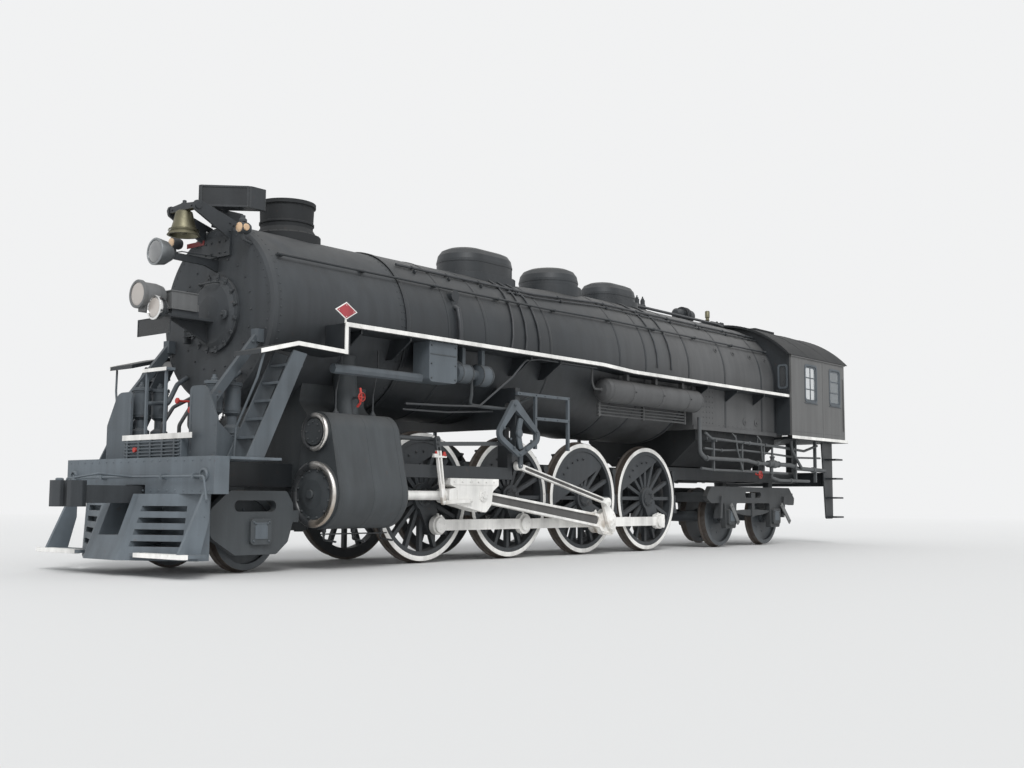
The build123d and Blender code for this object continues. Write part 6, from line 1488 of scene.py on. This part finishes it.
cab_trim = Shape()
for x in (CAB_FRONT - 0.030, CAB_BACK + 0.030, -7.275):
    for i in range(20):
        cab_trim.rivet((x, CAB_HALF - 0.001, FLOOR_Z + 0.110 + i * (EAVE_Z - FLOOR_Z - 0.180) / 19), (0, 1, 0), 0.010)
for z in (FLOOR_Z + 0.090, EAVE_Z - 0.050):
    for i in range(36):
        cab_trim.rivet((CAB_BACK + 0.080 + i * 2.290 / 35, CAB_HALF - 0.001, z), (0, 1, 0), 0.010)
cab_trim.box(-7.305, -7.245, CAB_HALF - 0.001, CAB_HALF + 0.004, FLOOR_Z + 0.010, EAVE_Z - 0.032)
cab_trim.prism([(CAB_HALF - 0.002, EAVE_Z - 0.030), (CAB_HALF + 0.020, EAVE_Z - 0.030), (CAB_HALF + 0.020, EAVE_Z - 0.010), (CAB_HALF + 0.015, EAVE_Z - 0.010), (CAB_HALF + 0.015, EAVE_Z - 0.025), (CAB_HALF - 0.002, EAVE_Z - 0.025)],
               "yz", CAB_BACK - 0.020, CAB_FRONT + 0.020)
cab_trim.tube([(CAB_BACK + 0.070, CAB_HALF - 0.004, FLOOR_Z + 0.180), (CAB_BACK + 0.070, CAB_HALF + 0.0085, FLOOR_Z + 0.190),
               (CAB_BACK + 0.070, CAB_HALF + 0.0085, FLOOR_Z + 1.280), (CAB_BACK + 0.070, CAB_HALF - 0.004, FLOOR_Z + 1.290)], 0.011, 8, 0.02)
cab_trim.tube([(CAB_BACK + 0.008, 1.080, FLOOR_Z + 0.150), (CAB_BACK - 0.060, 1.080, FLOOR_Z + 0.170), (CAB_BACK - 0.060, 1.080, FLOOR_Z + 1.450), (CAB_BACK + 0.008, 1.080, FLOOR_Z + 1.470)],
              0.014, 8, 0.05)
for z in (FLOOR_Z + 0.020, FLOOR_Z + 0.900):
    for i in range(6):
        cab_trim.rivet((CAB_FRONT - 0.001, 1.290 + i * 0.050, z), (1, 0, 0), 0.009)
cab_trim.both_sides()
# The cab's trim takes the lighter grey of painted light, like the cab sides
make("cab_trim", cab_trim, "engine", CAB_LIT_GREY, 0.001)


def roof_arc(proud, count=28):
    """Roof's outside line in the front view, stood off by a little, from one eave to the other."""
    half = CAB_HALF + 0.014
    rise = ROOF_TOP - EAVE_Z
    radius = (half ** 2 + rise ** 2) / (2 * rise)
    reach = math.asin(half / radius)
    return [((radius + proud) * math.sin(t), ROOF_TOP - radius + (radius + proud) * math.cos(t)) for t in (reach * (1 - 2 * i / count) for i in range(count + 1))]


roof = Shape()
ROOF_FRONT, ROOF_BACK = CAB_FRONT + 0.100, CAB_BACK - 0.150
for x in (ROOF_FRONT - 0.052, -6.620, -7.560, ROOF_BACK + 0.006):
    roof.prism(roof_arc(0.007) + list(reversed(roof_arc(-0.002))), "yz", x, x + 0.046)
    for y, z in roof_arc(0.006, 40)[1:-1]:
        if abs(y) > 0.40 or x > -6.7 or x < -7.6:
            roof.rivet((x + 0.023, y, z), (0, y * 0.5, 1), 0.009)
for y in (-0.372, 0.372):
    roof.box(-7.520, -6.680, y - 0.016, y + 0.016, ROOF_TOP - 0.060, ROOF_TOP + 0.030)
for x in (-7.420, -7.100, -6.780):
    for y in (-0.372, 0.372):
        roof.bolt((x, y, ROOF_TOP + 0.018), (0, 0, 1), 0.010)
make("roof_ribs", roof, "engine", SOOT, 0.001)

# Backhead: gauge rims and faces, fire door bolts
gauges = Shape()
dials = Shape()
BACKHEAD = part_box("backhead_fittings")
GAUGE_Z = BOILER_Z + 0.520
for y in (-0.270, 0.0, 0.270):
    place = (BACKHEAD[1].x - 0.100, y, GAUGE_Z)
    gauges.lathe([(-0.004, 0.096), (0.004, 0.112), (0.012, 0.112), (0.014, 0.098), (0.004, 0.095)], place, (-1, 0, 0), 36, closed=True)
    dials.lathe([(-0.002, 0.094), (0.003, 0.094), (0.003, 0)], place, (-1, 0, 0), 36)
    for i in range(9):
        t = math.radians(-120 + i * 30)
        a = Vector((place[0] - 0.005, y + 0.082 * math.sin(t), GAUGE_Z + 0.082 * math.cos(t)))
        gauges.rivet(a, (-1, 0, 0), 0.004)
gauges.ring_of(Shape.bolt, 10, (BACKHEAD[1].x - 0.029, 0, FLOOR_Z + 0.520), (-1, 0, 0), 0.275, 0.012)
make("gauge_rims", gauges, "engine", STEEL)
make("gauge_dials", dials, "engine", WHITE)

# Injector, washout pipes and valves below the cab and beside the ash pan
plumbing = Shape()
for side in SIDES:
    def q(x, y, z):
        return (x, side * y, RAIL + z)

    body = [(-0.260, 0.034), (-0.260, 0.062), (-0.230, 0.062), (-0.225, 0.048), (-0.120, 0.048), (-0.110, 0.078), (0.040, 0.084), (0.060, 0.060), (0.150, 0.050), (0.155, 0.066),
            (0.185, 0.066), (0.190, 0.034)]
    plumbing.lathe(body, q(-5.520, 1.330, 1.560), (1, 0, 0), 28)
    plumbing.lathe([(0, 0.040), (0.060, 0.040), (0.066, 0.052), (0.090, 0.052), (0.094, 0.030), (0.130, 0.020), (0.130, 0)], q(-5.520, 1.330, 1.620), (0, 0, 1), 20)
    plumbing.lathe([(0, 0.036), (0.100, 0.036), (0.104, 0.050), (0.124, 0.050), (0.124, 0.030)], q(-5.480, 1.330, 1.490), (0, 0, -1), 20)
    runs = (
        ([(-5.340, 1.330, 1.560), (-4.900, 1.330, 1.560), (-4.500, 1.345, 1.600), (-2.950, 1.345, 1.600), (-2.800, 1.330, 1.700), (-2.780, 1.330, 2.320)], 0.036, 0.10),
        ([(-5.780, 1.330, 1.560), (-6.300, 1.330, 1.560), (-6.600, 1.330, 1.500), (-7.850, 1.330, 1.480)], 0.042, 0.12),
        ([(-5.480, 1.330, 1.370), (-5.480, 1.330, 1.300), (-5.800, 1.330, 1.250), (-7.100, 1.330, 1.250)], 0.030, 0.08),
        ([(-5.520, 1.330, 1.740), (-5.520, 1.330, 1.900), (-5.800, 1.300, 1.960), (-6.000, 1.280, 2.040)], 0.022, 0.06),
        ([(-3.050, 1.290, 2.060), (-3.200, 1.330, 1.960), (-4.600, 1.330, 1.930), (-5.950, 1.330, 1.900), (-6.900, 1.330, 1.860), (-7.500, 1.330, 1.990)], 0.026, 0.08),
        ([(-3.000, 1.300, 1.780), (-3.600, 1.300, 1.760), (-4.400, 1.300, 1.790), (-5.300, 1.300, 1.770), (-6.700, 1.300, 1.720), (-7.700, 1.300, 1.740)], 0.020, 0.08),
        ([(-2.900, 1.290, 1.420), (-3.300, 1.300, 1.400), (-4.600, 1.300, 1.400), (-6.200, 1.300, 1.390)], 0.024, 0.08),
        ([(-6.180, 1.400, 2.040), (-6.220, 1.400, 1.850), (-6.500, 1.400, 1.620), (-6.650, 1.400, 1.500)], 0.030, 0.10),
        ([(-5.060, 1.250, 2.090), (-5.060, 1.330, 2.000), (-5.060, 1.360, 1.600)], 0.018, 0.05),
        ([(-4.100, 1.250, 2.090), (-4.100, 1.320, 2.020), (-4.120, 1.350, 1.760), (-4.300, 1.350, 1.410)], 0.018, 0.05),
    )
    for run, radius, bend in runs:
        plumbing.tube([q(*p) for p in run], radius, 10, bend)
    # Unions and clips along the pipes
    for x, y, z, size, axis in ((-4.900, 1.330, 1.560, 0.052, 1), (-3.000, 1.345, 1.600, 0.052, 1), (-6.450, 1.330, 1.530, 0.060, 1), (-7.300, 1.330, 1.487, 0.058, 1),
                                (-6.300, 1.330, 1.250, 0.044, 1), (-4.600, 1.330, 1.930, 0.038, 1), (-6.400, 1.330, 1.884, 0.038, 1), (-3.600, 1.300, 1.760, 0.032, 1)):
        plumbing.lathe([(-0.030, size * 0.8), (-0.028, size), (0.028, size), (0.030, size * 0.8)], q(x, y, z), (1, 0, 0), 12)
    for x in (-3.300, -4.350, -5.200):
        plumbing.box(x - 0.020, x + 0.020, min(side * 1.180, side * 1.380), max(side * 1.180, side * 1.380), RAIL + 1.905, RAIL + 1.945)
        plumbing.box(x - 0.020, x + 0.020, min(side * 1.160, side * 1.190), max(side * 1.160, side * 1.190), RAIL + 1.905, RAIL + 2.090)
        plumbing.box(x - 0.018, x + 0.018, min(side * 1.282, side * 1.330), max(side * 1.282, side * 1.330), RAIL + 1.380, RAIL + 1.940)
    for x in (-6.500, -7.400):
        plumbing.box(x - 0.020, x + 0.020, min(side * 1.300, side * 1.360), max(side * 1.300, side * 1.360), RAIL + 1.230, RAIL + 2.072)
make("cab_pipes", plumbing, "engine", PIPE_GREY)

wheel = Shape()
for side in SIDES:
    hub = Vector((-4.900, side * 1.400, RAIL + 1.340))
    wheel.lathe([(-0.010, 0.066), (-0.004, 0.076), (0.006, 0.076), (0.012, 0.066)], hub, (0, 1, 0), 24, closed=True)
    for turn in (0.3, 0.3 + math.pi / 2):
        reach = Vector((0.070 * math.cos(turn), 0, 0.070 * math.sin(turn)))
        wheel.tube([hub - reach, hub + reach], 0.008, 6)
    wheel.tube([hub + Vector((0, -side * 0.100, 0.052)), hub - Vector((0, side * 0.100, 0)), hub + Vector((0, side * 0.012, 0))], 0.014, 8, 0.02)
make("injector_valve_wheels", wheel, "engine", RED)

# Ash pan seams and hoppers' doors
pan = Shape()
low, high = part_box("ash_pan")
for side in SIDES:
    for x in (-3.300, -4.100, -4.900, -5.600):
        pan.rivet((x, side * (high.y - 0.002), high.z - 0.060), (0, side, 0), 0.012)
    for i in range(26):
        pan.rivet((low.x + 0.120 + i * (high.x - low.x - 0.240) / 25, side * high.y, high.z - 0.028), (0, side, 0), 0.011)
make("ash_pan_rivets", pan, "engine", SOOT)

# Reservoirs: end beads, bands and pipes
tanks = Shape()
TANK = Vector((0, BOARD_EDGE - 0.202, RAIL + 2.585))
for side in SIDES:
    for x, width in ((0.110, 0.020), (-2.570, 0.020), (-2.200, 0.070), (-1.350, 0.070), (-0.500, 0.070)):
        tanks.lathe([(0, 0.193), (0, 0.199), (width, 0.199), (width, 0.193)], (x, side * TANK.y, TANK.z), (1, 0, 0), 48, closed=True)
        if width > 0.05:
            tanks.bolt((x + 0.035, side * (TANK.y + 0.199), TANK.z), (0, side, 0), 0.016)
    tanks.lathe([(0, 0.030), (0.030, 0.030), (0.034, 0.020), (0.060, 0.018)], (0.225, side * TANK.y, TANK.z), (1, 0, 0), 14)
    tanks.tube([(0.270, side * TANK.y, TANK.z), (0.420, side * TANK.y, TANK.z), (0.480, side * TANK.y, TANK.z + 0.100), (0.480, side * TANK.y, TANK.z + 0.330)], 0.018, 8, 0.06)
    # Cooling pipes under the tank
    for i in range(4):
        z = TANK.z - 0.225 - i * 0.052
        tanks.tube([(0.150, side * (TANK.y - 0.130), z), (-2.500, side * (TANK.y - 0.130), z)], 0.017, 8)
    for x in (0.120, -1.150, -2.460):
        tanks.box(x - 0.018, x + 0.018, min(side * (TANK.y - 0.160), side * (TANK.y - 0.108)), max(side * (TANK.y - 0.160), side * (TANK.y - 0.108)), TANK.z - 0.410, TANK.z - 0.060)
# Reservoir trim in the lighter grey of painted light
make("reservoir_trim", tanks, "engine", FIREBOX_LIT_GREY)

# Heater and pump under the boards: flanges, bolts and pipes
gearbox = Shape()
PUMP_Y = 1.330
PUMP_Z = RAIL + 2.560
for side in SIDES:
    for x, radius in ((2.998, 0.156), (3.186, 0.156), (3.392, 0.141), (3.590, 0.141)):
        gearbox.lathe([(0, radius - 0.012), (0, radius), (0.016, radius), (0.016, radius - 0.012)], (x, side * PUMP_Y, PUMP_Z), (1, 0, 0), 36, closed=True)
        gearbox.ring_of(Shape.bolt, 10, (x + 0.016, side * PUMP_Y, PUMP_Z), (1, 0, 0), radius - 0.004, 0.008)
    for x in (3.820, 4.280):
        for z in (RAIL + 2.430, RAIL + 2.620, RAIL + 2.860):
            gearbox.bolt((x, side * 1.499, z), (0, side, 0), 0.012)
    gearbox.box(3.800, 4.300, min(side * 1.499, side * 1.505), max(side * 1.499, side * 1.505), RAIL + 2.740, RAIL + 2.752)
    gearbox.tube([(3.300, side * PUMP_Y, PUMP_Z - 0.060), (3.300, side * PUMP_Y, PUMP_Z - 0.280), (3.300, side * 1.300, PUMP_Z - 0.420), (2.500, side * 1.300, PUMP_Z - 0.430), (1.900, side * 1.280, PUMP_Z - 0.200)],
                 0.026, 8, 0.08)
    gearbox.tube([(3.500, side * PUMP_Y, PUMP_Z + 0.120), (3.700, side * PUMP_Y, PUMP_Z + 0.160), (3.790, side * PUMP_Y, PUMP_Z + 0.160)], 0.030, 8, 0.05)
make("feed_gear_trim", gearbox, "engine", CASTING)

# Truck frames: lid bolts, spring bands and pedestal ties
for node, wheelsets in (("lead_truck", ("lead_wheels",)), ("trailing_truck", ("trailing_wheels_1", "trailing_wheels_2"))):
    shape = Shape()
    spots = [(wheel_centre(name).x, RAIL + CARRYING[name]) for name in wheelsets]
    for side in SIDES:
        for x, z in spots:
            for dx, dz in ((-0.110, 0.110), (0.110, 0.110), (-0.110, -0.110), (0.110, -0.110)):
                shape.bolt((x + dx, side * (LID_FACE - 0.001), z + dz), (0, side, 0), 0.013)
            shape.prism([(x - 0.090, z - 0.085), (x + 0.090, z - 0.085), (x + 0.090, z + 0.060), (x + 0.060, z + 0.090), (x - 0.060, z + 0.090), (x - 0.090, z + 0.060)],
                        "xz", *sorted((side * (LID_FACE - 0.001), side * (LID_FACE + 0.007))))
            shape.tube([(x - 0.100, side * (LID_FACE + 0.003), z + 0.096), (x + 0.100, side * (LID_FACE + 0.003), z + 0.096)], 0.010, 8)
    make(node + "_lid_bolts", shape, node, SLATE, 0.001)

# Leaning hangers on the trailing truck's frames
hangers = Shape()
for side in SIDES:
    for top_x, low_x in ((-4.250, -4.530), (-6.270, -6.640)):
        lean = Vector((top_x - low_x, 0.360)).normalized()
        square = Vector((-lean.y, lean.x)) * 0.045
        high, low = Vector((top_x, RAIL + 0.780)), Vector((low_x, RAIL + 0.420))
        hangers.prism([tuple(v) for v in (high + square, high - square, low - square, low + square)], "xz", *sorted((side * 1.113, side * 1.135)))
        for end in (high - lean * 0.05, low + lean * 0.05):
            hangers.bolt(in_side(end, side, 1.134), (0, side, 0), 0.018)
make("trailing_truck_hangers", hangers, "trailing_truck", HANGER_GREY, 0.003)
